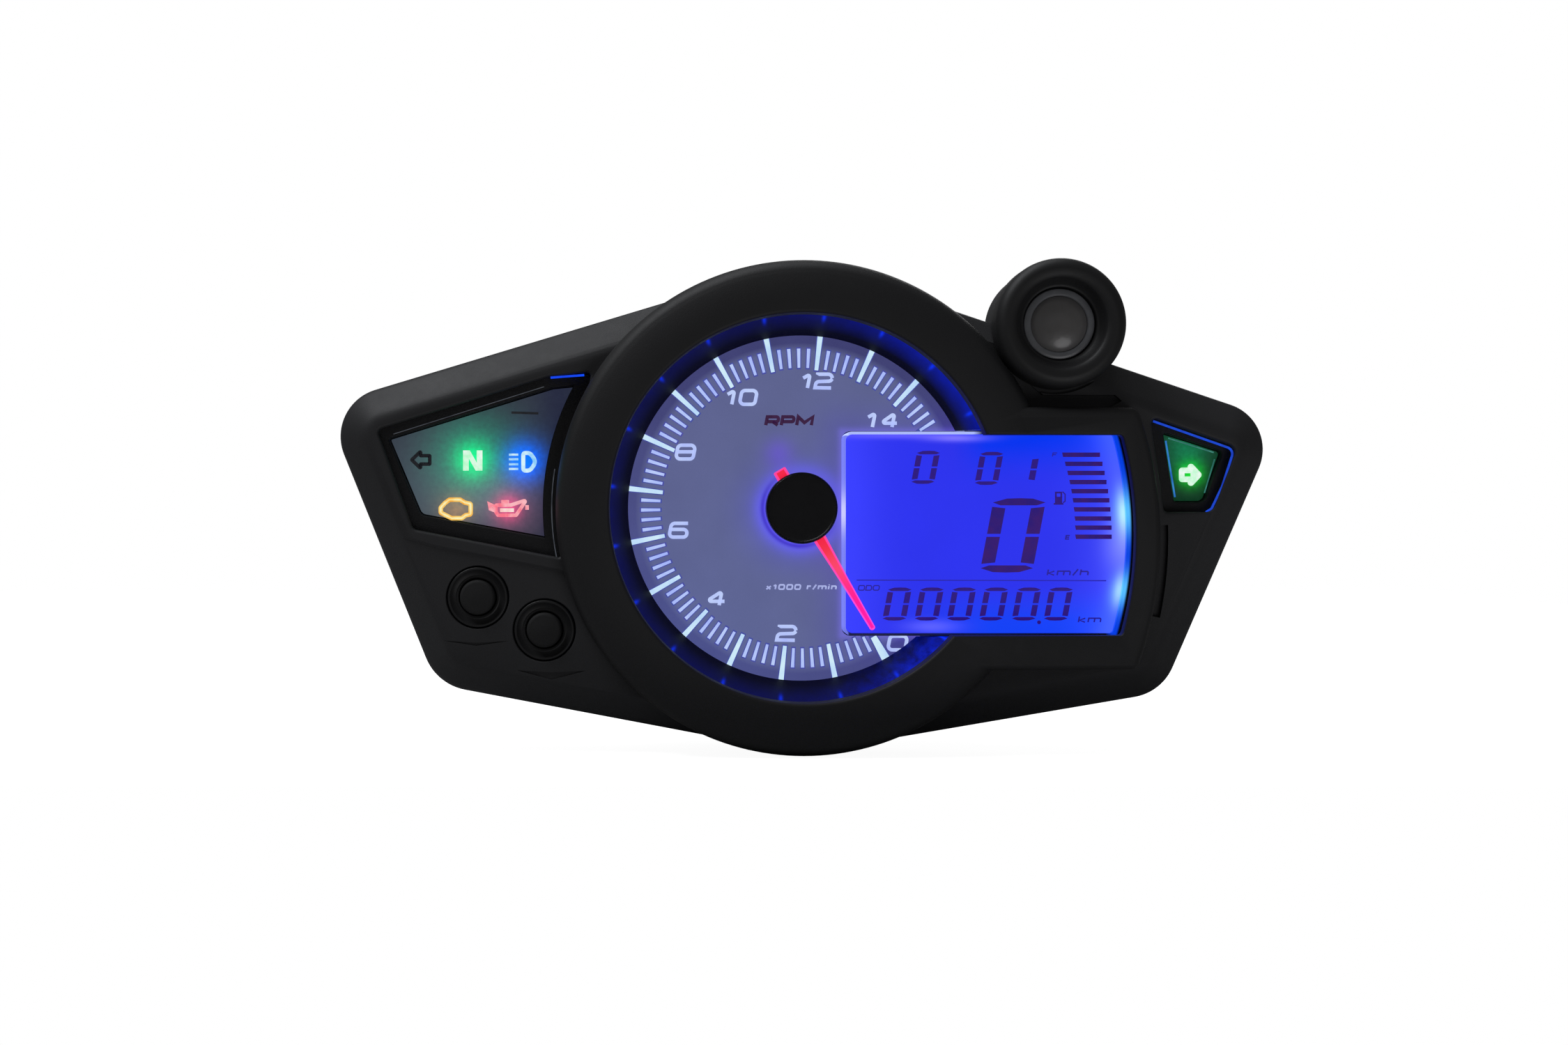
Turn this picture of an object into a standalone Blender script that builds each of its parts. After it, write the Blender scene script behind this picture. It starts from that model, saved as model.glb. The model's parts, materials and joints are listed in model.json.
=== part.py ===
"""Motorcycle instrument cluster: a rev counter, a display, tell-tales, two buttons and a shift light.

The rider looks along +Y at the face. X runs to the right, Z up, and Y = 0 is the plane of the rear face that
is bolted to a bracket. Most sizes are given as (x, z) in the plane of the face and as a height h above the
rear plane, towards the rider, so that Y = -h. Sizes are millimetres until MM turns them into metres.
"""

import math

import bmesh
import bpy
from mathutils import Matrix, Vector

MM = 0.001

# ---------------------------------------------------------------- driving dimensions
GAP = 0.3  # between pieces that touch on the real object

# Heights above the rear plane.
H_REAR = 0.0
H_WING_BACK = 14.0
H_FLANGE = 22.0  # underside of the rear housing's rim
H_PARTING = 24.0  # top of the rear housing
H_SKIRT = H_PARTING + GAP  # lowest edge of the front cover
H_SEAL_ROOF = 25.9  # roof of the seal's rebate
H_CEILING = 35.4  # underside of the cover's wings
H_PLATEAU = 38.0  # face of the wings
H_SURROUND = 45.0  # face of the display surround
H_RING = 46.8  # face of the bezel ring
H_RING_CEILING = 41.3  # underside of the ring and the surround
H_DIAL = 29.0
H_LIGHT_RING = 38.8
H_LCD_RIM = 32.0
H_NEEDLE = 32.8  # underside of the needle
H_CAP = 35.5
H_BOARD = 12.0  # underside of the main board
BOARD_THICK = 1.6
H_POD = 48.0  # rim of the shift light's hood
H_POD_SEAT = 37.0
H_POD_BACK = 16.0

WALL = 2.2
EDGE_FILLET = 5.0
REBATE = 2.2  # from the outline to the seal's rebate
SEAL_W = 1.6
REAR_INSET = 0.8  # of the rear housing's rim from the cover's outline
REAR_TAPER = 3.8  # of the wings' backs
REAR_RIM = 5.0
DRUM_R = 48.0  # of the round back, at the rear plane and at its shoulder
DRUM_SHOULDER_R = 52.0
THROUGH = (10.0, 70.0)  # heights of a cutter that goes right through

# Outline of the wings: x, z, corner radius. The corners without a radius lie inside the bezel ring.
WINGS = [
    (-113.6, 24.5, 11.6),
    (-86.8, -42.0, 12.5),
    (-20.0, -54.6, 0),
    (20.0, -55.1, 0),
    (85.8, -43.9, 12.0),
    (113.8, 20.7, 11.2),
    (25.0, 50.8, 0),
    (-25.0, 51.2, 0),
]
RING_R = 57.9
RING_FILLET = 3.0
RING_CONE = 0.9  # by which the ring's face falls towards its outer edge
RING_OPENING_R = 45.2
RING_LIP = 0.8
RING_SEGMENTS = 48

# Display surround and opening: straight top and bottom, and a right side that bows out.
LCD_TOP = 17.0
LCD_BOTTOM = -29.6
LCD_RIGHT = 77.0
LCD_BOW_R = 87.0
SURROUND_TOP = 23.4
SURROUND_BOTTOM = -37.6
SURROUND_RIGHT = 83.0
CHANNEL_DEPTH = 1.6
LCD_HOLDER = (9.5, 79.9, -30.4, 18.2)  # left, right, bottom, top; its left part lies over the dial
H_LCD_HOLDER = 24.2
LCD_HOLDER_WALL = 0.8
LCD_POSTS = [(70.0, -22.0), (70.0, 12.0)]

LENS_R = 48.0
LENS_THICK = 1.8
DIAL_R = 44.0
DIAL_THICK = 0.8
DIAL_SEEN_R = 41.3
LIGHT_RING_R = 47.2
LIGHT_RING_CORNER_R = 46.4
SCALE_START = -60.5  # direction of the zero mark, degrees anticlockwise from +X
SCALE_STEP = 18.0  # per 1000 r/min

NEEDLE_LENGTH = 32.7
NEEDLE_TAIL = 10.6
NEEDLE_ROOT_W = 3.6
NEEDLE_TIP_W = 1.6
NEEDLE_THICK = 1.3
CAP_R = 8.5
SHAFT_R = 0.75
PIN_R = 0.5

# Tell-tale windows in the wings: x, z, corner radius.
LEFT_WINDOW = [
    (-100.2, 18.5, 1.2),
    (-91.7, -5.0, 1.6),
    (-57.0, -11.7, 0.6),
    (-49.8, 32.0, 0.8),
    (-59.6, 31.0, 3.0),
]
LEFT_PANEL = [
    (-97.9, 16.4, 0.6),
    (-90.3, -1.6, 2.0),
    (-56.7, -7.8, 0),
    (-49.7, 29.4, 0),
    (-59.0, 28.5, 2.0),
]
LEFT_PANEL_ARC_R = 61.2  # the panel's right side runs round the bezel ring
RIGHT_WINDOW = [
    (81.8, 21.4, 1.0),
    (85.0, -0.9, 1.0),
    (96.4, -0.9, 2.6),
    (102.2, 14.3, 2.2),
]
RIGHT_PANEL = [
    (85.4, 17.9, 0.5),
    (88.0, 1.4, 0.8),
    (95.2, 1.4, 2.0),
    (99.5, 13.4, 1.0),
]
LEFT_LAMPS = [(-91.8, 10.6), (-77.6, 10.6), (-66.4, 10.6), (-81.2, -0.4), (-68.8, -0.4)]
RIGHT_LAMPS = [(92.2, 8.4)]
LAMP_CELL_R = 4.6
H_LAMP_BOX = 28.0
H_SHEET = 32.8  # printed face of the tell-tale sheets
SHEET_THICK = 0.5
LEFT_LAMP_BOARD = [  # wide behind the lamps, with a tongue down to the two switches
    (-96.4, 12.6),
    (-90.0, -5.0),
    (-84.0, -8.0),
    (-82.8, -25.0),
    (-72.4, -28.4),
    (-66.6, -36.6),
    (-57.0, -33.5),
    (-60.4, -8.0),
    (-60.2, 24.6),
]

BUTTONS = {"left": (-76.5, -21.0), "right": (-60.8, -28.7)}
COLLAR_R = 7.1
H_COLLAR = (34.0, 37.9)
BUTTON_R = 4.1
BUTTON_FLANGE_R = 5.4
H_BUTTON = (31.9, 39.0)
SWITCH_SIZE = 6.0
H_SWITCH = (27.5, 30.6)

POD = (59.3, 42.8)
POD_R = 15.1
POD_NECK_R = 14.6  # the stub of the casing that the hood stands on
POD_MOUTH_R = 10.3
POD_LENS_R = 7.9
POD_CLEARANCE = 0.9

MOUNT_PCD_R = 33.0
MOUNT_ANGLES = {"top": 90.0, "left": 210.0, "right": 330.0}
BOSS_R = 7.0
INSERT_R = 4.0
INSERT_BORE_R = 2.1
INSERT_LENGTH = 9.0

SCREWS = {
    "upper_left": (-52.0, 34.6),
    "left": (-89.8, -12.5),
    "lower_left": (-78.5, -34.5),
    "lower_right": (62.0, -39.8),
    "right": (85.6, -22.5),
    "upper_right": (76.5, 24.8),
}
SCREW_BOSS_R = 3.0
SCREW_R = 1.4
SCREW_HEAD_R = 2.7
SCREW_LENGTH = 17.7

# Stepper motor and its gear train: module 0.4, ratios 5:1 and 4:1.
GEAR_MODULE = 0.4
OUTPUT_TEETH = 40
PINION_TEETH = 8
IDLER_TEETH = 32
IDLER_AXIS = (0.0, GEAR_MODULE * (OUTPUT_TEETH + PINION_TEETH) / 2)
ROTOR_DIRECTION = 30.0
ROTOR_DISTANCE = GEAR_MODULE * (IDLER_TEETH + PINION_TEETH) / 2
ROTOR_AXIS = (
    IDLER_AXIS[0] + ROTOR_DISTANCE * math.cos(math.radians(ROTOR_DIRECTION)),
    IDLER_AXIS[1] + ROTOR_DISTANCE * math.sin(math.radians(ROTOR_DIRECTION)),
)
H_MOTOR = 13.9
H_MOTOR_SPLIT = 18.0
H_MOTOR_TOP = 23.2
MOTOR_CASE = [(-14.0, 21.0, 3.0), (-14.0, -10.6, 8.0), (15.4, -10.6, 8.0), (15.4, 21.0, 3.0)]

VENT = (-22.0, 20.0)
LAMP_POSTS = [(-89.6, 4.0), (-64.5, -29.5), (-64.0, 18.0), (91.0, 14.6)]
H_LAMP_BOARD = 26.0
LAMP_BOARD_THICK = 1.2

CONNECTOR = (0.0, -24.0)
CONNECTOR_SIZE = (34.0, 14.0)
CONNECTOR_WALL = 1.3

COLOURS = {  # name: (red, green, blue), roughness, metallic
    "black_shell": ((0.012, 0.012, 0.013), 0.5, 0.0),
    "black_gloss": ((0.006, 0.006, 0.007), 0.15, 0.0),
    "black_rubber": ((0.010, 0.010, 0.011), 0.7, 0.0),
    "clear_lens": ((0.80, 0.84, 0.88), 0.05, 0.0),
    "dial_print": ((0.16, 0.17, 0.30), 0.45, 0.0),
    "blue_light": ((0.01, 0.02, 0.45), 0.2, 0.0),
    "display_blue": ((0.03, 0.05, 0.90), 0.25, 0.0),
    "white_plastic": ((0.80, 0.80, 0.78), 0.5, 0.0),
    "panel_print": ((0.12, 0.14, 0.18), 0.45, 0.0),
    "needle_red": ((0.85, 0.01, 0.06), 0.35, 0.0),
    "steel": ((0.55, 0.55, 0.57), 0.3, 1.0),
    "brass": ((0.72, 0.50, 0.20), 0.3, 1.0),
    "copper": ((0.70, 0.28, 0.12), 0.35, 1.0),
    "circuit_board": ((0.01, 0.13, 0.05), 0.4, 0.0),
    "chip": ((0.02, 0.02, 0.02), 0.5, 0.0),
    "lamp_lens": ((0.25, 0.25, 0.27), 0.1, 0.0),
}


# ---------------------------------------------------------------- outlines in the plane of the face
def arc(centre, radius, start, end, step=15.0):
    """Points from start to end, in degrees, at most step apart."""
    count = max(1, math.ceil(abs(end - start) / step - 1e-9))
    angles = [math.radians(start + (end - start) * i / count) for i in range(count + 1)]
    return [(centre[0] + radius * math.cos(a), centre[1] + radius * math.sin(a)) for a in angles]


def circle(radius, segments):
    turn = 360.0 * (segments - 1) / segments
    return arc((0.0, 0.0), radius, 0, turn, turn / (segments - 1))


def offset_corners(corners, distance):
    """The corners moved outwards by distance, for an anticlockwise outline."""
    count = len(corners)
    moved = []
    for i, (x, z, radius) in enumerate(corners):
        here = Vector((x, z))
        before = (here - Vector(corners[i - 1][:2])).normalized()
        after = (Vector(corners[(i + 1) % count][:2]) - here).normalized()
        out_before = Vector((before.y, -before.x))
        out_after = Vector((after.y, -after.x))
        mitre = (out_before + out_after) / (1 + out_before.dot(out_after))
        convex = before.x * after.y - before.y * after.x > 0
        grown = radius + (distance if convex else -distance)
        moved.append((*(here + mitre * distance), max(grown, 0.0) if radius else 0.0))
    return moved


def rounded(corners, step=24.0):
    """The outline of a polygon whose corners are rounded by their radii."""
    count = len(corners)
    points = []
    for i, (x, z, radius) in enumerate(corners):
        if radius < 0.05:
            points.append((x, z))
            continue
        here = Vector((x, z))
        to_before = (Vector(corners[i - 1][:2]) - here).normalized()
        to_after = (Vector(corners[(i + 1) % count][:2]) - here).normalized()
        half = to_before.angle(to_after) / 2
        centre = here + (to_before + to_after).normalized() * radius / math.sin(half)
        first = here + to_before * radius / math.tan(half) - centre
        last = here + to_after * radius / math.tan(half) - centre
        start = math.degrees(math.atan2(first.y, first.x))
        turn = (math.degrees(math.atan2(last.y, last.x)) - start + 180) % 360 - 180
        points += arc(centre, radius, start, start + turn, step)
    return points


def box_outline(x0, x1, z0, z1):
    return [(x0, z0), (x1, z0), (x1, z1), (x0, z1)]


def bowed_box(left, right, bottom, top, corner=1.0, step=8.0):
    """A box whose right side is an arc that bows out to right at mid height."""
    middle = (top + bottom) / 2
    half = (top - bottom) / 2 - corner
    centre = (right - LCD_BOW_R, middle)
    swing = math.degrees(math.asin(half / LCD_BOW_R))
    side = arc(centre, LCD_BOW_R, -swing, swing, step)
    inner = side[0][0] - corner
    return [(left, bottom), (inner, bottom), *side, (inner, top), (left, top)]


def polar(radius, degrees):
    return (radius * math.cos(math.radians(degrees)), radius * math.sin(math.radians(degrees)))


def gear_outline(teeth, shift=0.0, tip=1.0, backlash=0.05):
    """An involute gear with a tooth centred on +X. shift and tip are in modules."""
    module = GEAR_MODULE
    pressure = math.radians(20)
    pitch_r = module * teeth / 2
    base_r = pitch_r * math.cos(pressure)
    root_r = pitch_r - (1.25 - shift) * module
    tip_r = pitch_r + tip * module
    thickness = module * (math.pi / 2 + 2 * shift * math.tan(pressure)) - backlash

    def involute(angle):
        return math.tan(angle) - angle

    def half_angle(radius):
        at = math.acos(min(1.0, base_r / radius))
        return thickness / (2 * pitch_r) + involute(pressure) - involute(at)

    low = max(base_r, root_r)
    flank = [low, tip_r]
    points = []
    for tooth in range(teeth):
        middle = 2 * math.pi * tooth / teeth
        foot = half_angle(low)
        rising = [(root_r, -foot)] + [(r, -half_angle(r)) for r in flank]
        falling = [(r, -a) for r, a in reversed(rising)]
        points += [(r * math.cos(middle + a), r * math.sin(middle + a)) for r, a in rising + falling]
    return points


def turned_outline(points, degrees):
    c, s = math.cos(math.radians(degrees)), math.sin(math.radians(degrees))
    return [(x * c - z * s, x * s + z * c) for x, z in points]


# ---------------------------------------------------------------- solids
def clear_scene():
    for obj in list(bpy.data.objects):
        bpy.data.objects.remove(obj, do_unlink=True)


def material(name):
    found = bpy.data.materials.get(name)
    if found:
        return found
    colour, roughness, metallic = COLOURS[name]
    made = bpy.data.materials.new(name)
    made.use_nodes = True
    shader = made.node_tree.nodes["Principled BSDF"]
    shader.inputs["Base Color"].default_value = (*colour, 1)
    shader.inputs["Roughness"].default_value = roughness
    shader.inputs["Metallic"].default_value = metallic
    made.diffuse_color = (*colour, 1)
    return made


def finish(name, bm, centre, colour):
    """Turns a bmesh in millimetres, drawn as (x, -h, z) round centre, into an object in metres."""
    bmesh.ops.remove_doubles(bm, verts=bm.verts, dist=1e-5)
    bmesh.ops.dissolve_degenerate(bm, edges=bm.edges, dist=1e-5)
    bmesh.ops.recalc_face_normals(bm, faces=bm.faces)
    bmesh.ops.scale(bm, vec=(MM, MM, MM), verts=bm.verts)
    mesh = bpy.data.meshes.new(name)
    bm.to_mesh(mesh)
    bm.free()
    mesh.shade_smooth()
    mesh.set_sharp_from_angle(angle=math.radians(30))
    obj = bpy.data.objects.new(name, mesh)
    obj.location = (centre[0] * MM, 0, centre[1] * MM)
    if colour:
        mesh.materials.append(material(colour))
    bpy.context.scene.collection.objects.link(obj)
    return obj


def loft(name, sections, colour=None, centre=(0.0, 0.0)):
    """A closed solid through outlines of equal length: sections is [(outline, h), ...], back to front."""
    bm = bmesh.new()
    rings = [[bm.verts.new((x, -h, z)) for x, z in outline] for outline, h in sections]
    for low, high in zip(rings, rings[1:]):
        for i in range(len(low)):
            j = (i + 1) % len(low)
            bm.faces.new((low[i], low[j], high[j], high[i]))
    bm.faces.new(list(reversed(rings[0])))
    bm.faces.new(rings[-1])
    return finish(name, bm, centre, colour)


def prism(name, outline, low, high, colour=None, centre=(0.0, 0.0)):
    return loft(name, [(outline, low), (outline, high)], colour, centre)


def block(name, x0, x1, z0, z1, low, high, colour=None, centre=(0.0, 0.0)):
    return prism(name, box_outline(x0, x1, z0, z1), low, high, colour, centre)


def lathe(name, profile, colour=None, centre=(0.0, 0.0), segments=24):
    """A closed profile [(radius, h), ...] turned about the line through centre along Y."""
    bm = bmesh.new()
    rings = []
    for i in range(segments):
        angle = 2 * math.pi * i / segments
        rings.append([bm.verts.new((r * math.cos(angle), -h, r * math.sin(angle))) for r, h in profile])
    for i, ring in enumerate(rings):
        after = rings[(i + 1) % segments]
        for j in range(len(profile)):
            k = (j + 1) % len(profile)
            if profile[j][0] or profile[k][0]:
                bm.faces.new((ring[j], ring[k], after[k], after[j]))
    return finish(name, bm, centre, colour)


def rod(name, radius, low, high, colour=None, centre=(0.0, 0.0), segments=24):
    return prism(name, circle(radius, segments), low, high, colour, centre)


def tube(name, outer, inner, low, high, colour=None, centre=(0.0, 0.0), segments=24):
    profile = [(outer, low), (outer, high), (inner, high), (inner, low)]
    return lathe(name, profile, colour, centre, segments)


def weld(mesh):
    """Merges the corners that a Boolean leaves a hair apart."""
    bm = bmesh.new()
    bm.from_mesh(mesh)
    bmesh.ops.remove_doubles(bm, verts=bm.verts, dist=2e-6)
    bmesh.ops.dissolve_degenerate(bm, edges=bm.edges, dist=2e-6)
    bm.to_mesh(mesh)
    bm.free()


def combine(target, others, operation):
    """Joins the others to target, or cuts them from it, and removes them."""
    for other in others:
        modifier = target.modifiers.new(operation.lower(), "BOOLEAN")
        modifier.operation = operation
        modifier.solver = "EXACT"
        modifier.object = other
        bpy.context.view_layer.update()
        graph = bpy.context.evaluated_depsgraph_get()
        made = bpy.data.meshes.new_from_object(target.evaluated_get(graph), depsgraph=graph)
        target.modifiers.clear()
        weld(made)
        old = target.data
        target.data = made
        made.name = target.name
        bpy.data.meshes.remove(old)
        bpy.data.objects.remove(other, do_unlink=True)
    return target


def join(target, *others):
    return combine(target, others, "UNION")


def cut(target, *others):
    return combine(target, others, "DIFFERENCE")


def filleted(outline_at, radius, low, top, steps=3):
    """Sections of a slab whose upper edge is rounded. outline_at(inset) gives the outline moved inwards."""
    sections = [(outline_at(0.0), low)]
    for i in range(steps + 1):
        angle = math.pi / 2 * i / steps
        inset = radius * (1 - math.cos(angle))
        sections.append((outline_at(inset), top - radius + radius * math.sin(angle)))
    return sections


def wings_outline(inset):
    return rounded(offset_corners(WINGS, -inset))


def surround_outline(inset):
    top, bottom = SURROUND_TOP - inset, SURROUND_BOTTOM + inset
    return bowed_box(20.0, SURROUND_RIGHT - inset, bottom, top, 2.6 - inset * 0.5)


# ---------------------------------------------------------------- casing
def ring_profile():
    """Section of the bezel ring: a fillet outside, a slightly conical face and the opening's lip."""
    fillet = arc((RING_R - RING_FILLET, H_RING - RING_CONE - RING_FILLET), RING_FILLET, 0, 90, 45)
    return [
        (RING_R, H_SKIRT),
        *fillet,
        (RING_OPENING_R + RING_LIP, H_RING),
        (RING_OPENING_R, H_RING - RING_LIP),
        (RING_OPENING_R, H_SKIRT),
    ]


def make_front_cover():
    cover = loft("front_cover", filleted(wings_outline, EDGE_FILLET, H_SKIRT, H_PLATEAU), "black_shell")
    neck = rod("neck", POD_NECK_R, H_SKIRT, H_POD_SEAT, centre=POD, segments=32)
    surround = loft("surround", filleted(surround_outline, 2.0, H_CEILING - 3, H_SURROUND, 2))
    join(cover, neck, surround)
    cut(
        cover,
        rod("bore", RING_OPENING_R, *THROUGH, segments=RING_SEGMENTS),
        prism("left_opening", rounded(LEFT_WINDOW), *THROUGH),
        prism("right_opening", rounded(RIGHT_WINDOW), *THROUGH),
        *[rod("button_opening", COLLAR_R + GAP, *THROUGH, centre=at) for at in BUTTONS.values()],
    )
    join(cover, lathe("ring", ring_profile(), segments=RING_SEGMENTS))
    cut(cover, prism("lcd_opening", bowed_box(30, LCD_RIGHT, LCD_BOTTOM, LCD_TOP), *THROUGH))
    cut(cover, rod("pod_seat", POD_R + POD_CLEARANCE, H_POD_SEAT, THROUGH[1], centre=POD, segments=32))

    # The hollow inside: the seal's rebate, the wings, the ring, the surround and the pod's neck.
    low = H_SKIRT - 5
    surround_hollow = bowed_box(30, SURROUND_RIGHT - WALL, SURROUND_BOTTOM + WALL, SURROUND_TOP - WALL)
    cut(
        cover,
        prism("rebate", wings_outline(REBATE), low, H_SEAL_ROOF),
        rod("rebate_ring", RING_R - REBATE, low, H_SEAL_ROOF, segments=RING_SEGMENTS),
        rod("rebate_pod", POD_NECK_R - REBATE, low, H_SEAL_ROOF, centre=POD, segments=32),
        prism("wings_hollow", wings_outline(REBATE + SEAL_W), low, H_CEILING),
        rod("ring_hollow", RING_R - REBATE - SEAL_W, low, H_CEILING, segments=RING_SEGMENTS),
        rod("lens_hollow", LENS_R + 3, low, H_RING_CEILING, segments=RING_SEGMENTS),
        prism("surround_hollow", surround_hollow, low, H_RING_CEILING),
        rod("pod_hollow", POD_NECK_R - REBATE - SEAL_W, low, H_PLATEAU + 5, centre=POD, segments=32),
    )

    # The channel between the ring, the surround and the shift light, and the slot beside the surround.
    slot_centre = (SURROUND_RIGHT - LCD_BOW_R, (SURROUND_TOP + SURROUND_BOTTOM) / 2)
    slot = [*arc(slot_centre, LCD_BOW_R + 2.9, -12, 2, 5), *arc(slot_centre, LCD_BOW_R + 0.2, 2, -12, 5)]
    side = SURROUND_TOP + 0.2
    channel = [*arc((0, 0), RING_R + 0.1, 27, 48, 7), (43.5, 44.5), (54.2, 28.6), (56.5, 26.6), (73.4, 26.6)]
    channel += [(75.0, 25.2), (72.0, side), (53.0, side)]
    floor = H_PLATEAU - CHANNEL_DEPTH
    cut(cover, prism("channel", channel, floor, H_POD), prism("slot", slot, floor, H_POD))
    for at in SCREWS.values():
        join(cover, rod("boss", SCREW_BOSS_R, H_SKIRT + 0.4, H_CEILING + 0.6, centre=at, segments=12))
        cut(cover, rod("pilot", SCREW_R + 0.35, H_SKIRT - 1, H_SKIRT + 8, centre=at, segments=12))


def mount_points():
    return {name: polar(MOUNT_PCD_R, angle) for name, angle in MOUNT_ANGLES.items()}


def make_rear_housing():
    shoulder = H_WING_BACK + 1.0
    flange = wings_outline(REAR_INSET)
    back = wings_outline(REAR_INSET + REAR_TAPER)
    sections = [(back, H_WING_BACK), (flange, H_FLANGE), (flange, H_PARTING)]
    housing = loft("rear_housing", sections, "black_shell")
    drum_profile = [
        (0, H_REAR),
        (DRUM_R, H_REAR),
        (DRUM_SHOULDER_R, shoulder),
        (RING_R - REAR_INSET, H_FLANGE),
        (RING_R - REAR_INSET, H_PARTING),
        (0, H_PARTING),
    ]
    pod_r = POD_NECK_R - REAR_INSET
    pod_profile = [
        (0, H_POD_BACK),
        (pod_r - 2.5, H_POD_BACK),
        (pod_r, H_POD_BACK + 2.5),
        (pod_r, H_PARTING),
        (0, H_PARTING),
    ]
    join(
        housing,
        lathe("drum", drum_profile, segments=RING_SEGMENTS),
        lathe("pod_back", pod_profile, centre=POD, segments=32),
    )

    high = H_PARTING + 5
    pod_floor = H_POD_BACK + WALL
    mouth = wings_outline(REAR_INSET + REAR_RIM)
    inside = wings_outline(REAR_INSET + REAR_TAPER + WALL)
    hollow_profile = [
        (0, H_REAR + WALL),
        (DRUM_R - WALL, H_REAR + WALL),
        (DRUM_SHOULDER_R - WALL, shoulder),
        (RING_R - REAR_INSET - REAR_RIM, H_FLANGE),
        (RING_R - REAR_INSET - REAR_RIM, high),
        (0, high),
    ]
    cut(
        housing,
        loft("wings_hollow", [(inside, H_WING_BACK + WALL), (mouth, H_FLANGE), (mouth, high)]),
        lathe("drum_hollow", hollow_profile, segments=RING_SEGMENTS),
        rod("pod_hollow", POD_NECK_R - REAR_RIM, pod_floor, high, centre=POD, segments=32),
        block("wire_way", -4, 4, -16, 0, pod_floor, high, centre=POD),
    )
    for at in LCD_POSTS:
        join(housing, rod("lcd_post", 2.5, H_WING_BACK + 1, H_LCD_HOLDER - GAP, centre=at, segments=10))
    for at in LAMP_POSTS:
        join(housing, rod("lamp_post", 2.0, H_WING_BACK + 1, H_LAMP_BOARD - GAP, centre=at, segments=10))
    for at in mount_points().values():
        join(housing, rod("boss", BOSS_R, H_REAR + 1, H_BOARD - GAP, centre=at, segments=20))
        cut(housing, rod("seat", INSERT_R + GAP, H_REAR - 1, INSERT_LENGTH + GAP, centre=at, segments=20))
    half_x, half_z = CONNECTOR_SIZE[0] / 2 + GAP, CONNECTOR_SIZE[1] / 2 + GAP
    cut(
        housing,
        block("connector_slot", -half_x, half_x, -half_z, half_z, -1, 5, centre=CONNECTOR),
        rod("vent_hole", 3.2, -1, 5, centre=VENT, segments=16),
    )
    for at in SCREWS.values():
        join(housing, rod("boss", 4.3, H_WING_BACK + 1.2, H_PARTING - 0.4, centre=at, segments=12))
        cut(
            housing,
            rod("hole", SCREW_R + 0.4, H_WING_BACK - 1, H_PARTING + 1, centre=at, segments=12),
            rod("counterbore", SCREW_HEAD_R + GAP, 0, H_WING_BACK + 2.6, centre=at, segments=12),
        )


def make_gasket():
    """A flat seal in the rebate, which follows the wings, the ring and the pod's neck."""
    outer = REBATE + GAP + 0.1
    inner = outer + SEAL_W
    low, high = H_SKIRT, H_SEAL_ROOF - GAP
    seal = prism("housing_gasket", wings_outline(outer), low, high, "black_rubber")
    join(
        seal,
        rod("seal_ring", RING_R - outer, low, high, segments=RING_SEGMENTS),
        rod("seal_pod", POD_NECK_R - outer, low, high, centre=POD, segments=32),
    )
    cut(
        seal,
        prism("seal_inside", wings_outline(inner), *THROUGH),
        rod("seal_inside_ring", RING_R - inner, *THROUGH, segments=RING_SEGMENTS),
        rod("seal_inside_pod", POD_NECK_R - inner, *THROUGH, centre=POD, segments=32),
    )


def make_casing():
    make_front_cover()
    make_rear_housing()
    make_gasket()
    for name, at in SCREWS.items():
        under_head = H_WING_BACK + 2.0
        tip = under_head + SCREW_LENGTH - 2.0
        screw = rod("case_screw_" + name, SCREW_R, under_head, tip, "steel", at, 12)
        join(screw, rod("head", SCREW_HEAD_R, under_head - 1.6, under_head + 0.2, centre=at, segments=16))
        cut(
            screw,
            block("cross_a", -1.5, 1.5, -0.35, 0.35, 10, under_head - 0.6, centre=at),
            block("cross_b", -0.35, 0.35, -1.5, 1.5, 10, under_head - 0.6, centre=at),
        )
    for name, at in mount_points().items():
        tube("mount_insert_" + name, INSERT_R, INSERT_BORE_R, H_REAR, INSERT_LENGTH, "brass", at, 20)
    lathe(
        "vent_plug",
        [(0, 0.2), (2.0, 0.2), (2.8, 0.6), (2.8, 2.6), (4.0, 2.6), (3.6, 3.6), (0, 3.6)],
        "black_rubber",
        VENT,
        16,
    )


# ---------------------------------------------------------------- glazing
def make_lenses():
    low, high = H_RING_CEILING - GAP - LENS_THICK, H_RING_CEILING - GAP
    lens = rod("main_lens", LENS_R, low, high, "clear_lens", segments=RING_SEGMENTS)
    join(lens, prism("lcd_part", bowed_box(25, LCD_RIGHT + 2.0, LCD_BOTTOM - 2.5, LCD_TOP + 1.5), low, high))
    for side, window in (("left", LEFT_WINDOW), ("right", RIGHT_WINDOW)):
        outline = rounded(offset_corners(window, -GAP))
        pane = prism("indicator_lens_" + side, outline, H_CEILING + 0.1, H_PLATEAU - 0.8, "clear_lens")
        if side == "left":
            cut(pane, rod("clear_of_ring", RING_R + 2 * GAP, *THROUGH, segments=RING_SEGMENTS))


# ---------------------------------------------------------------- dial, light ring and display
def lcd_notch(grow=GAP):
    left, _, bottom, top = LCD_HOLDER
    return block("notch", left - grow, 90, bottom - grow, top + grow, *THROUGH)


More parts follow.
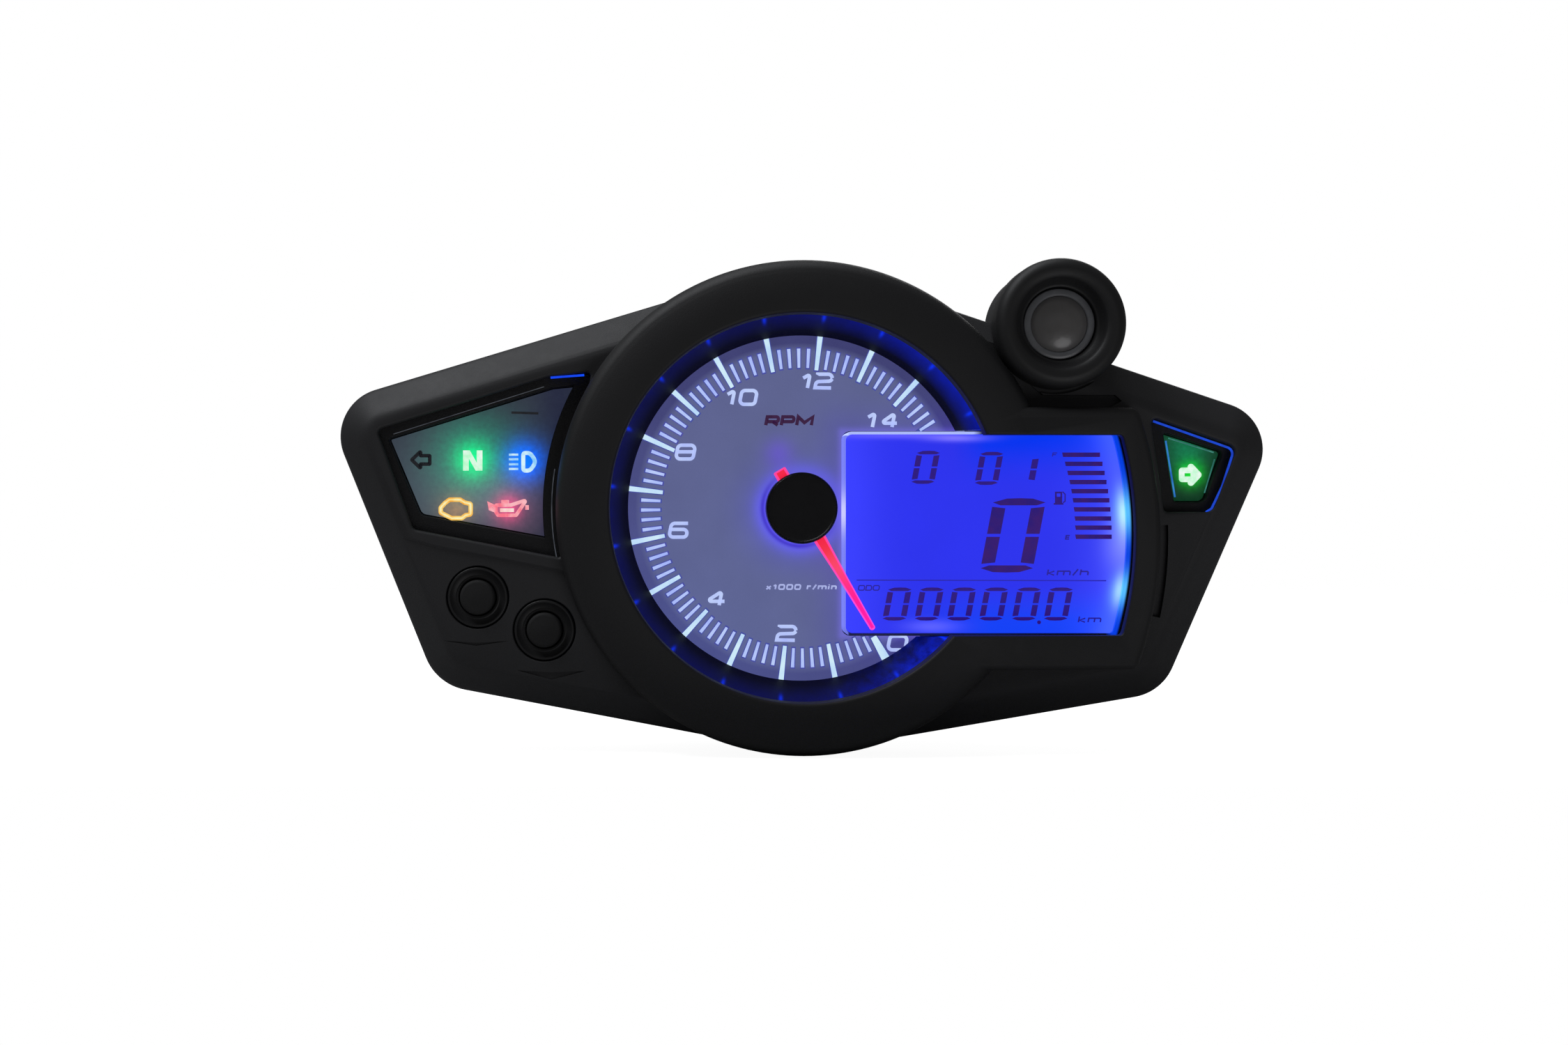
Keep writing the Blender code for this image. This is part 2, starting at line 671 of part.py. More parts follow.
def make_dial():
    guide_low, guide_high = H_DIAL - 3.6, H_DIAL - DIAL_THICK - GAP
    dial = rod("dial_plate", DIAL_R, H_DIAL - DIAL_THICK, H_DIAL, "dial_print", segments=RING_SEGMENTS)
    guide = rod("dial_light_guide", DIAL_R, guide_low, guide_high, "clear_lens", segments=RING_SEGMENTS)
    for plate in (dial, guide):
        cut(plate, rod("hole", 2.4, *THROUGH, segments=16), lcd_notch())
    low, high = H_BOARD + BOARD_THICK + GAP, guide_low - GAP
    inner_r = DIAL_R - 1.6
    reflector = tube("dial_reflector", DIAL_R, inner_r, low, high, "white_plastic", segments=RING_SEGMENTS)
    cut(reflector, lcd_notch())

    # The light ring's upper edge is a polygon with a corner at every thousand of the scale.
    low, high = H_DIAL + GAP, H_LIGHT_RING
    facets = round(360 / SCALE_STEP)
    per_facet = 3
    half_turn = 180.0 / facets
    inner_low, inner_high, outer = [], [], []
    for i in range(facets * per_facet):
        step = SCALE_STEP / per_facet
        angle = SCALE_START + i * step
        off_middle = (i % per_facet) * step - half_turn
        flat = LIGHT_RING_CORNER_R * math.cos(math.radians(half_turn))
        radius = flat / math.cos(math.radians(off_middle))
        inner_low.append(polar(DIAL_SEEN_R, angle))
        inner_high.append(polar(radius, angle))
        outer.append(polar(LIGHT_RING_R, angle))
    ring = prism("dial_light_ring", outer, low, high, "blue_light")
    cut(ring, loft("funnel", [(inner_low, low - 0.01), (inner_high, high + 0.01)]), lcd_notch())


def make_display():
    left, right, bottom, top = LCD_HOLDER
    rim, gap = LCD_HOLDER_WALL, LCD_HOLDER_WALL + GAP
    outline = bowed_box(left, right, bottom, top)
    holder = prism("lcd_holder", outline, H_LCD_HOLDER, H_LCD_RIM, "white_plastic")
    pocket = bowed_box(left + rim, right - rim, bottom + rim, top - rim)
    cut(holder, prism("pocket", pocket, H_LCD_HOLDER + 1.2, *THROUGH[1:]))
    fitted = bowed_box(left + gap, right - gap, bottom + gap, top - gap)
    prism("lcd_backlight", fitted, 25.7, 29.6, "clear_lens")
    prism("lcd_glass", fitted, 29.9, H_LCD_RIM - 0.2, "display_blue")
    header = block("lcd_pin_header", 12.0, 32.0, -27.5, -25.0, 15.8, 18.3, "chip")
    pins = [
        block("pin", x - 0.3, x + 0.3, -26.55, -25.95, H_BOARD + BOARD_THICK + GAP, H_LCD_HOLDER - GAP)
        for x in (13.5, 16.9, 20.3, 23.7, 27.1, 30.5)
    ]
    join(header, *pins)


# ---------------------------------------------------------------- tell-tale lamps
def panel_prism(name, side, grow, low, high, colour=None):
    """The tell-tale panel of one side; the left one is cut back to an arc round the bezel ring."""
    corners = LEFT_PANEL if side == "left" else RIGHT_PANEL
    panel = prism(name, rounded(offset_corners(corners, grow)), low, high, colour)
    if side == "left":
        cut(panel, rod("clear_of_ring", LEFT_PANEL_ARC_R - grow, *THROUGH, segments=RING_SEGMENTS))
    return panel


def make_lamp_box(side, window, lamps):
    """A black box with one cell for each lamp and the printed sheet in its mouth."""
    outline = rounded(offset_corners(window, 0.9))
    box = prism("light_box_" + side, outline, H_LAMP_BOX, H_CEILING - GAP, "black_shell")
    if side == "left":
        cut(
            box,
            rod("clear_of_light_ring", RING_R - 1.9, *THROUGH, segments=RING_SEGMENTS),
            rod("clear_of_boss", SCREW_BOSS_R + GAP, *THROUGH, centre=SCREWS["upper_left"], segments=16),
        )
    seat = H_SHEET - SHEET_THICK - GAP
    cut(box, panel_prism("pocket", side, 0.0, seat, THROUGH[1]))
    for at in lamps:
        cut(box, rod("cell", LAMP_CELL_R, THROUGH[0], seat + 1, centre=at, segments=12))
    panel_prism("indicator_sheet_" + side, side, -GAP, H_SHEET - SHEET_THICK, H_SHEET, "panel_print")


def lamps_on(board, lamps):
    top = H_LAMP_BOARD + LAMP_BOARD_THICK
    for x, z in lamps:
        join(board, block("lamp", x - 1.5, x + 1.5, z - 1.4, z + 1.4, top - 0.3, top + 1.8))


def make_lamps():
    make_lamp_box("left", LEFT_WINDOW, LEFT_LAMPS)
    make_lamp_box("right", RIGHT_WINDOW, RIGHT_LAMPS)
    low, high = H_LAMP_BOARD, H_LAMP_BOARD + LAMP_BOARD_THICK
    lamps_on(prism("indicator_board_left", LEFT_LAMP_BOARD, low, high, "circuit_board"), LEFT_LAMPS)
    right_outline = rounded(offset_corners(RIGHT_WINDOW, -0.4))
    lamps_on(prism("indicator_board_right", right_outline, low, high, "circuit_board"), RIGHT_LAMPS)


# ---------------------------------------------------------------- needle and stepper motor
def make_needle():
    down = SCALE_START
    blade = [
        (-NEEDLE_TAIL, -NEEDLE_ROOT_W / 2),
        (6.0, -NEEDLE_ROOT_W / 2),
        (NEEDLE_LENGTH - 0.6, -NEEDLE_TIP_W / 2),
        (NEEDLE_LENGTH, -NEEDLE_TIP_W / 2 + 0.4),
        (NEEDLE_LENGTH, NEEDLE_TIP_W / 2 - 0.4),
        (NEEDLE_LENGTH - 0.6, NEEDLE_TIP_W / 2),
        (6.0, NEEDLE_ROOT_W / 2),
        (-NEEDLE_TAIL, NEEDLE_ROOT_W / 2),
    ]
    top = H_NEEDLE + NEEDLE_THICK
    needle = prism("needle_blade", turned_outline(blade, down), H_NEEDLE, top, "needle_red")
    join(needle, rod("hub", 4.6, 30.6, top, segments=24))
    cut(needle, rod("bore", SHAFT_R + 0.15, 20, H_CAP - 1.8, segments=16))

    cap = lathe(
        "needle_cap",
        [
            (0, top + GAP),
            (CAP_R - 1.2, top + GAP),
            (CAP_R - 1.2, 30.4),
            (CAP_R, 30.4),
            (CAP_R, H_CAP - 0.5),
            (CAP_R - 0.5, H_CAP),
            (0, H_CAP),
        ],
        "black_gloss",
        segments=28,
    )
    wide = NEEDLE_ROOT_W / 2 + GAP
    slot = turned_outline(box_outline(-12, 12, -wide, wide), down)
    cut(cap, prism("slot", slot, 29, top + GAP - 0.01))
    rod("needle_shaft", SHAFT_R, 15.6, 33.4, "steel", segments=16)


def make_gears():
    shift = 0.5
    wheel_tip, pinion_tip = 0.5, 1.2
    output_wheel = gear_outline(OUTPUT_TEETH, -shift, wheel_tip)
    idler_wheel = gear_outline(IDLER_TEETH, -shift, wheel_tip)
    small_wheel = gear_outline(PINION_TEETH, shift, pinion_tip)
    output = prism("output_gear", output_wheel, 19.2, 20.8, "white_plastic")
    # The output gear has a tooth on +X, so it is turned to have one on the line to the idler.
    output.data.transform(turn_about_y(90))
    join(output, rod("hub", 2.0, 18.2, 21.2, segments=20))
    cut(output, rod("bore", SHAFT_R + 0.1, *THROUGH, segments=16))

    idler = prism("idler_gear", idler_wheel, 16.2, 17.6, "white_plastic", IDLER_AXIS)
    idler.data.transform(turn_about_y(ROTOR_DIRECTION))
    pinion = prism("pinion", small_wheel, 17.4, 21.2, centre=IDLER_AXIS)
    pinion.data.transform(turn_about_y(-90 + 180 / PINION_TEETH))
    join(idler, pinion)
    cut(idler, rod("bore", PIN_R + 0.1, *THROUGH, centre=IDLER_AXIS, segments=12))

    rotor = prism("motor_rotor", small_wheel, 16.0, 18.6, "chip", ROTOR_AXIS)
    rotor.data.transform(turn_about_y(ROTOR_DIRECTION + 180 + 180 / PINION_TEETH))
    join(rotor, rod("magnet", 3.2, 18.4, 21.2, centre=ROTOR_AXIS, segments=24))
    cut(rotor, rod("bore", PIN_R + 0.1, *THROUGH, centre=ROTOR_AXIS, segments=12))


def turn_about_y(degrees):
    """A rotation that carries +X towards +Z, as angles in the plane of the face are counted."""
    return Matrix.Rotation(-math.radians(degrees), 4, "Y")


def make_motor():
    inner = rounded(offset_corners(MOTOR_CASE, -1.1))
    outer = rounded(MOTOR_CASE)
    rear = prism("motor_case_rear", outer, H_MOTOR, H_MOTOR_SPLIT, "black_shell")
    cut(rear, prism("inside", inner, H_MOTOR + 1.1, 30))
    for at in (IDLER_AXIS, ROTOR_AXIS):
        join(rear, rod("pin", PIN_R, H_MOTOR + 0.5, 21.8, centre=at, segments=12))
    front = prism("motor_case_front", outer, H_MOTOR_SPLIT + GAP, H_MOTOR_TOP, "black_shell")
    cut(front, prism("inside", inner, 10, H_MOTOR_TOP - 1.1), rod("bush_hole", 2.2, 10, 30, segments=20))
    tube("shaft_bush", 2.0, SHAFT_R + 0.1, 21.5, 24.2, "brass", segments=20)

    x, z = ROTOR_AXIS
    arm_z = 17.0
    arm_x = 12.2
    stator = rod("motor_stator", 5.2, 18.9, 20.3, "steel", ROTOR_AXIS, 32)
    join(
        stator,
        block("arm_a", -10.6 - x, -1.0, arm_z - 0.8 - z, arm_z + 0.8 - z, 18.9, 20.3, centre=ROTOR_AXIS),
        block("arm_b", arm_x - 0.8 - x, arm_x + 0.8 - x, 1.2 - z, -1.0, 18.9, 20.3, centre=ROTOR_AXIS),
    )
    cut(stator, rod("rotor_hole", 3.6, 10, 30, centre=ROTOR_AXIS, segments=32))
    make_coil("motor_coil_a", -10.0, -2.6, arm_z, True)
    make_coil("motor_coil_b", 2.0, 8.2, arm_x, False)


def make_coil(name, start, end, across, level):
    """A winding round one arm of the stator: level ones lie along X, the others along Z."""
    radius, middle = 1.9, 19.6
    bm = bmesh.new()
    loop = circle(radius, 12)
    rings = []
    for along in (start, end):
        ring = []
        for a, b in loop:
            place = (along, -(middle + b), across + a) if level else (across + a, -(middle + b), along)
            ring.append(bm.verts.new(place))
        rings.append(ring)
    for i in range(len(loop)):
        j = (i + 1) % len(loop)
        bm.faces.new((rings[0][i], rings[0][j], rings[1][j], rings[1][i]))
    bm.faces.new(rings[0])
    bm.faces.new(rings[1])
    coil = finish(name, bm, (0, 0), "copper")
    room = 1.1
    if level:
        core = block("core", start - 1, end + 1, across - room, across + room, middle - 1, middle + 1)
    else:
        core = block("core", across - room, across + room, start - 1, end + 1, middle - 1, middle + 1)
    cut(coil, core)


# ---------------------------------------------------------------- electronics
def make_electronics():
    top = H_BOARD + BOARD_THICK
    board = rod("main_board", DIAL_R, H_BOARD, top, "circuit_board", segments=48)
    for at in mount_points().values():
        cut(board, rod("screw_hole", 1.4, 10, 16, centre=at, segments=12))
    chip = block("microcontroller", -33.0, -23.0, -5.0, 5.0, top + 0.2, top + 1.6, "chip")
    join(
        chip,
        *[
            block("legs", x0, x1, z0, z1, top + 0.1, top + 0.4)
            for x0, x1, z0, z1 in ((-34.2, -21.8, -4.2, 4.2), (-32.2, -23.8, -6.2, 6.2))
        ],
    )
    half_x, half_z = CONNECTOR_SIZE[0] / 2, CONNECTOR_SIZE[1] / 2
    shell = block("connector_shell", -half_x, half_x, -half_z, half_z, 0.4, 11.7, "black_shell", CONNECTOR)
    inner_x, inner_z = half_x - CONNECTOR_WALL, half_z - CONNECTOR_WALL
    cut(shell, block("socket", -inner_x, inner_x, -inner_z, inner_z, -1, 13, centre=CONNECTOR))
    base_x, base_z = inner_x - GAP, inner_z - GAP
    pins = block("connector_pins", -base_x, base_x, -base_z, base_z, 9.6, 11.6, "brass", CONNECTOR)
    pitch = 2.8
    for column in range(10):
        for row in (-1, 1):
            x, z = (column - 4.5) * pitch, row * pitch / 2 * 1.4
            join(pins, block("pin", x - 0.4, x + 0.4, z - 0.4, z + 0.4, 6.8, 10.0, centre=CONNECTOR))
    lathe(
        "filter_capacitor",
        [(0, 2.8), (4.6, 2.8), (5.0, 3.3), (5.0, 11.2), (4.4, 11.7), (0, 11.7)],
        "steel",
        (22.0, 12.0),
        24,
    )


def make_switch(side, at):
    """A tact switch on the lamp board, its plunger, the button's collar and the button itself."""
    half = SWITCH_SIZE / 2
    low, high = H_SWITCH
    body = block("switch_body_" + side, -half, half, -half, half, low, high, "chip", at)
    cut(body, rod("plunger_hole", 1.9, low + 1.1, high + 1, centre=at, segments=16))
    foot, crown = H_BUTTON
    rod("switch_plunger_" + side, 1.6, high - 0.6, foot - 0.2, "white_plastic", at, 16)
    low, high = H_COLLAR
    bore = BUTTON_R + 0.35
    collar_profile = [
        (bore, low),
        (COLLAR_R, low),
        (COLLAR_R, high - 0.5),
        (COLLAR_R - 0.5, high),
        (COLLAR_R - 1.3, high - 0.5),
        (bore + 0.55, high - 0.8),
        (bore, high - 0.7),
    ]
    lathe("button_collar_" + side, collar_profile, "black_shell", at)
    button_profile = [
        (0, foot),
        (3.0, foot),
        (3.0, foot + 0.5),
        (BUTTON_FLANGE_R, foot + 0.5),
        (BUTTON_FLANGE_R, foot + 1.7),
        (BUTTON_R, foot + 1.7),
        (BUTTON_R, crown - 0.8),
        (BUTTON_R - 0.6, crown - 0.2),
        (0, crown),
    ]
    lathe("button_" + side, button_profile, "black_rubber", at)


# ---------------------------------------------------------------- shift light
def make_shift_light():
    seat = H_POD_SEAT + GAP
    lens_bore = POD_LENS_R + 2 * GAP
    hood_profile = [
        (POD_MOUTH_R - 1.2, seat),
        (POD_R - 0.4, seat),
        (POD_R, seat + 1.1),
        (POD_R, H_POD - 2.6),
        (POD_R - 0.8, H_POD - 0.8),
        (POD_R - 2.4, H_POD),
        (POD_MOUTH_R + 0.8, H_POD - 0.4),
        (POD_MOUTH_R, H_POD - 1.2),
        (lens_bore, H_POD - 5.0),
        (lens_bore, H_POD - 7.4),
        (POD_MOUTH_R - 1.2, H_POD - 7.4),
    ]
    lathe("shift_light_hood", hood_profile, "black_shell", POD, 32)
    low = seat + 1.3
    rim_r = POD_LENS_R + GAP
    dome = arc((0, low - 4.2), 10.2, 49, 90, 14)
    lens_profile = [(0, low), (6.4, low), (6.4, low + 1.7), (rim_r, low + 1.7), (rim_r, low + 3.4)]
    lens_profile += [*dome[:-1], (0, low + 6.0)]
    lathe("shift_light_lens", lens_profile, "lamp_lens", POD, 28)
    reflector_profile = [(3.2, low - 8.4), (4.0, low - 8.4), (8.4, low - 0.4), (7.4, low - 0.4)]
    lathe("shift_light_reflector", reflector_profile, "steel", POD)
    led_profile = [(0, 25.0), (2.9, 25.0), (2.9, 26.4), (2.5, 26.4), (2.5, 31.0), (1.6, 32.6), (0, 33.2)]
    lathe("shift_light_led", led_profile, "lamp_lens", POD, 16)
    rod("shift_light_board", 8.6, 23.1, 24.7, "circuit_board", POD, 24)


# ---------------------------------------------------------------- joints
def hang_on_axes():
    """Each moving group hangs on an empty that stands on its joint's axis."""
    groups = {
        "needle_axis": ((0, 0), ["needle_blade", "needle_cap", "needle_shaft", "output_gear"]),
        "idler_axis": (IDLER_AXIS, ["idler_gear"]),
        "rotor_axis": (ROTOR_AXIS, ["motor_rotor"]),
        "button_left_axis": (BUTTONS["left"], ["button_left", "switch_plunger_left"]),
        "button_right_axis": (BUTTONS["right"], ["button_right", "switch_plunger_right"]),
    }
    for name, (at, members) in groups.items():
        empty = bpy.data.objects.new(name, None)
        empty.empty_display_size = 0.01
        empty.location = (at[0] * MM, 0, at[1] * MM)
        bpy.context.scene.collection.objects.link(empty)
        bpy.context.view_layer.update()
        for member in members:
            piece = bpy.data.objects[member]
            piece.parent = empty
            piece.matrix_parent_inverse = empty.matrix_world.inverted()


def main():
    clear_scene()
    make_casing()
    make_lenses()
    make_dial()
    make_display()
    make_lamps()
    make_needle()
    make_gears()
    make_motor()
    make_electronics()
    for side, at in BUTTONS.items():
        make_switch(side, at)
    make_shift_light()
    hang_on_axes()


main()
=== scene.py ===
import json
import math

import bmesh
import bpy
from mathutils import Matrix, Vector


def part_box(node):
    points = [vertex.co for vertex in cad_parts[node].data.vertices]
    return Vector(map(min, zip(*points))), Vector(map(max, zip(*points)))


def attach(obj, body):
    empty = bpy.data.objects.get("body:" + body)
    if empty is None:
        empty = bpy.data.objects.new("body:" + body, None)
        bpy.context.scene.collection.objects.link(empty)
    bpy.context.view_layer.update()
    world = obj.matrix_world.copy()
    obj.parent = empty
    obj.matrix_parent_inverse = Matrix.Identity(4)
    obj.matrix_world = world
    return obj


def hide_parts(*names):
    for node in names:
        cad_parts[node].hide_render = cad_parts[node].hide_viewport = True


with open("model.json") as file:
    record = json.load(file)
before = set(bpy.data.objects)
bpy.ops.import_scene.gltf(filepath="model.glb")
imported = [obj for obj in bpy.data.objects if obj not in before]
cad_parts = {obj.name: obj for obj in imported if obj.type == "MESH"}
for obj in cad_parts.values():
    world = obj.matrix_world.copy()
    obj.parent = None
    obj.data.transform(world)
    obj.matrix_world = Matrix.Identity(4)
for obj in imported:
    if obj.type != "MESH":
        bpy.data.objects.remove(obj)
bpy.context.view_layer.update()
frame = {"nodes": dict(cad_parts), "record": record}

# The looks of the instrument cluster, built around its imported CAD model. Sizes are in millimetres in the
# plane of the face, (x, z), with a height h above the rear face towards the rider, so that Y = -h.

MM = 0.001


class Span:
    """Where a CAD node lies, in millimetres."""

    def __init__(self, node):
        low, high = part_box(node)
        self.left, self.right = low.x / MM, high.x / MM
        self.low, self.high = -high.y / MM, -low.y / MM
        self.bottom, self.top = low.z / MM, high.z / MM
        self.middle = ((self.left + self.right) / 2, (self.bottom + self.top) / 2)
        self.radius = (self.right - self.left) / 2


COVER = Span("front_cover")
REAR = Span("rear_housing")
DIAL = Span("dial_plate")
GLASS = Span("lcd_glass")
HOLDER = Span("lcd_holder")
LENS = Span("main_lens")
LIGHT_RING = Span("dial_light_ring")
SHEET = Span("indicator_sheet_left")
LAMP_BOX = Span("light_box_left")
PANE = Span("indicator_lens_left")
HOOD = Span("shift_light_hood")
LAMP_LENS = Span("shift_light_lens")
BUTTONS = {side: Span("button_" + side) for side in ("left", "right")}
COLLARS = {side: Span("button_collar_" + side) for side in ("left", "right")}
POD = HOOD.middle
FRAME_LEFT = HOLDER.left + 0.5
GLASS_RIGHT = GLASS.right - 1.6  # the lit display ends here, and its bright side strip begins

# Heights: of the cover's faces, of the scale's plate, and where the cutters start and end.
SKIRT = COVER.low
RING_TOP = COVER.high
RING_EDGE = RING_TOP - 0.9
PLATEAU = 38.0
CEILING = 35.4
RING_CEILING = 41.3
DIAL_TOP = DIAL.high
UNDER, OVER = 10.0, 60.0

# The cover's outline and openings: x, z, corner radius.
WINGS = [
    (-113.6, 24.5, 11.6),
    (-86.8, -42.0, 12.5),
    (-20.0, -54.6, 0),
    (20.0, -55.1, 0),
    (85.8, -43.9, 12.0),
    (113.8, 20.7, 11.2),
    (25.0, 50.8, 0),
    (-25.0, 51.2, 0),
]
RING_R = 57.89
RING_FACE_R = 54.3
OPENING_R = 45.2
LEFT_WINDOW = [
    (-100.2, 18.5, 1.2),
    (-91.7, -5.0, 1.6),
    (-57.0, -11.7, 0.6),
    (-49.8, 32.0, 0.8),
    (-59.6, 31.0, 3.0),
]
LEFT_PANEL = [
    (-97.9, 16.4, 0.6),
    (-90.3, -1.6, 2.0),
    (-56.7, -7.8, 0),
    (-49.7, 29.4, 0),
    (-59.0, 28.5, 2.0),
]
PANEL_ARC_R = 61.2
RIGHT_WINDOW = [
    (81.8, 21.4, 1.0),
    (85.0, -0.9, 1.0),
    (96.4, -0.9, 2.6),
    (102.2, 14.3, 2.2),
]
RIGHT_PANEL = [
    (85.4, 17.9, 0.5),
    (88.0, 1.4, 0.8),
    (95.2, 1.4, 2.0),
    (99.5, 13.4, 1.0),
]
LEFT_LAMPS = [(-91.8, 10.6), (-77.6, 10.6), (-66.4, 10.6), (-81.2, -0.4), (-68.8, -0.4)]
RIGHT_LAMPS = [(92.2, 8.4)]
SURROUND = (83.0, -37.6, 23.4)
DISPLAY_OPENING = (77.0, -29.6, 17.0)
BOW_R = 87.0
SCREWS = [(-52.0, 34.6), (-89.8, -12.5), (-78.5, -34.5), (62.0, -39.8), (85.6, -22.5), (76.5, 24.8)]
INSERTS = [Span("mount_insert_" + name).middle for name in ("top", "left", "right")]
HEADER_BASE = 2.0
PIN_PITCH = 2.8
ROUND = 192  # sides of the large round pieces

# The scale: direction of the zero mark, and the turn for each thousand.
ZERO = -60.5
STEP = 18.0
AIM = ZERO + 1.1  # the blade leans a little past the zero mark
MARK_R = (33.2, 41.4)
MINOR_R = (33.6, 38.2)
SLANT = 0.2


# ---------------------------------------------------------------- outlines
def arc(centre, radius, start, end, step):
    count = max(1, math.ceil(abs(end - start) / step - 1e-6))
    angles = [math.radians(start + (end - start) * i / count) for i in range(count + 1)]
    return [(centre[0] + radius * math.cos(a), centre[1] + radius * math.sin(a)) for a in angles]


def circle(radius, segments, centre):
    return arc(centre, radius, 0, 360, 360 / segments)[:-1]


def box_outline(left, right, bottom, top):
    return [(left, bottom), (right, bottom), (right, top), (left, top)]


def edge_round(radius, height, inwards, upwards, steps, turn=90.0):
    """A turned profile's rounded edge, from upright to flat: it starts at (radius, height)."""
    angles = [math.radians(turn) * i / steps for i in range(1, steps + 1)]
    return [(radius - inwards * (1 - math.cos(a)), height + upwards * math.sin(a)) for a in angles]


def offset_corners(corners, distance):
    """The corners moved outwards by distance, for an anticlockwise outline."""
    count = len(corners)
    moved = []
    for i, (x, z, radius) in enumerate(corners):
        here = Vector((x, z))
        before = (here - Vector(corners[i - 1][:2])).normalized()
        after = (Vector(corners[(i + 1) % count][:2]) - here).normalized()
        out_before = Vector((before.y, -before.x))
        out_after = Vector((after.y, -after.x))
        mitre = (out_before + out_after) / (1 + out_before.dot(out_after))
        convex = before.x * after.y - before.y * after.x > 0
        grown = radius + (distance if convex else -distance)
        moved.append((*(here + mitre * distance), max(grown, 0.06) if radius else 0.0))
    return moved


def rounded(corners, step=5.0, closed=True):
    """The line through the corners, each rounded by its radius."""
    count = len(corners)
    points = []
    for i, (x, z, radius) in enumerate(corners):
        if radius < 0.05 or not closed and i in (0, count - 1):
            points.append((x, z))
            continue
        here = Vector((x, z))
        to_before = (Vector(corners[i - 1][:2]) - here).normalized()
        to_after = (Vector(corners[(i + 1) % count][:2]) - here).normalized()
        half = to_before.angle(to_after) / 2
        centre = here + (to_before + to_after).normalized() * radius / math.sin(half)
        first = here + to_before * radius / math.tan(half) - centre
        last = here + to_after * radius / math.tan(half) - centre
        start = math.degrees(math.atan2(first.y, first.x))
        turn = (math.degrees(math.atan2(last.y, last.x)) - start + 180) % 360 - 180
        points += arc(centre, radius, start, start + turn, step)
    return points


def bowed_box(left, right, bottom, top, corner=1.0, left_corner=0.0):
    """A box whose right side bows out to right at mid height, with rounded corners."""
    middle = (top + bottom) / 2
    half = (top - bottom) / 2
    centre = (right - BOW_R, middle)
    swing = math.asin((half - corner) / (BOW_R - corner))
    inner = BOW_R - corner
    upper = (centre[0] + inner * math.cos(swing), middle + inner * math.sin(swing))
    lower = (upper[0], 2 * middle - upper[1])
    degrees = math.degrees(swing)
    points = arc(lower, corner, -90, -degrees, 14)
    points += arc(centre, BOW_R, -degrees, degrees, 1.4)[1:-1]
    points += arc(upper, corner, degrees, 90, 14)
    if left_corner:
        points += arc((left + left_corner, top - left_corner), left_corner, 90, 180, 10)
        points += arc((left + left_corner, bottom + left_corner), left_corner, 180, 270, 10)
    else:
        points += [(left, top), (left, bottom)]
    return points


def dense(outline, longest):
    """The outline with points added so that no side is longer than longest."""
    points = []
    for i, (x, z) in enumerate(outline):
        after = outline[(i + 1) % len(outline)]
        count = max(1, math.ceil(math.dist((x, z), after) / longest))
        points += [(x + (after[0] - x) * k / count, z + (after[1] - z) * k / count) for k in range(count)]
    return points


def polar(radius, degrees):
    return (radius * math.cos(math.radians(degrees)), radius * math.sin(math.radians(degrees)))


# ---------------------------------------------------------------- meshes
SMOOTH = math.radians(35)  # edges sharper than this stay sharp


def to_object(name, bm):
    bmesh.ops.remove_doubles(bm, verts=bm.verts, dist=1e-4)
    bmesh.ops.recalc_face_normals(bm, faces=bm.faces)
    bmesh.ops.scale(bm, vec=(MM, MM, MM), verts=bm.verts)
    mesh = bpy.data.meshes.new(name)
    bm.to_mesh(mesh)
    bm.free()
    mesh.shade_smooth()
    mesh.set_sharp_from_angle(angle=SMOOTH)
    made = bpy.data.objects.new(name, mesh)
    bpy.context.scene.collection.objects.link(made)
    return made


def add_loft(bm, sections):
    """A solid through outlines of equal length; each has a height, or a function that gives it at (x, z)."""
    rings = []
    for outline, height in sections:
        level = height if callable(height) else lambda x, z, fixed=height: fixed
        rings.append([bm.verts.new((x, -level(x, z), z)) for x, z in outline])
    for low, high in zip(rings, rings[1:]):
        for i in range(len(low)):
            j = (i + 1) % len(low)
            bm.faces.new((low[i], low[j], high[j], high[i]))
    bm.faces.new(list(reversed(rings[0])))
    bm.faces.new(rings[-1])


def loft(name, sections):
    bm = bmesh.new()
    add_loft(bm, sections)
    return to_object(name, bm)


def prism(name, outline, low, high):
    return loft(name, [(outline, low), (outline, high)])


def rod(name, radius, low, high, centre=(0.0, 0.0), segments=96):
    return prism(name, circle(radius, segments, centre), low, high)


def lathe(name, profile, centre=(0.0, 0.0), segments=96):
    """A closed profile [(radius, h), ...] turned about the line through centre along Y."""
    bm = bmesh.new()
    rings = []
    for i in range(segments):
        angle = 2 * math.pi * i / segments
        x, z = math.cos(angle), math.sin(angle)
        rings.append([bm.verts.new((centre[0] + r * x, -h, centre[1] + r * z)) for r, h in profile])
    for i, ring in enumerate(rings):
        after = rings[(i + 1) % segments]
        for j in range(len(profile)):
            k = (j + 1) % len(profile)
            if profile[j][0] or profile[k][0]:
                bm.faces.new((ring[j], ring[k], after[k], after[j]))
    return to_object(name, bm)


def apply_modifier(obj):
    """The object's mesh as its modifier leaves it."""
    bpy.context.view_layer.update()
    graph = bpy.context.evaluated_depsgraph_get()
    made = bpy.data.meshes.new_from_object(obj.evaluated_get(graph), depsgraph=graph)
    obj.modifiers.clear()
    return made


def combine(target, others, operation):
    for other in others:
        modifier = target.modifiers.new("edit", "BOOLEAN")
        modifier.operation = operation
        modifier.solver = "EXACT"
        modifier.object = other
        made = apply_modifier(target)
        bm = bmesh.new()
        bm.from_mesh(made)
        bmesh.ops.remove_doubles(bm, verts=bm.verts, dist=2e-6)
        bmesh.ops.dissolve_degenerate(bm, edges=bm.edges, dist=2e-6)
        bm.to_mesh(made)
        bm.free()
        old = target.data
        target.data = made
        bpy.data.meshes.remove(old)
        bpy.data.objects.remove(other, do_unlink=True)
    target.data.shade_smooth()
    target.data.set_sharp_from_angle(angle=SMOOTH)


def join(target, *others):
    combine(target, others, "UNION")


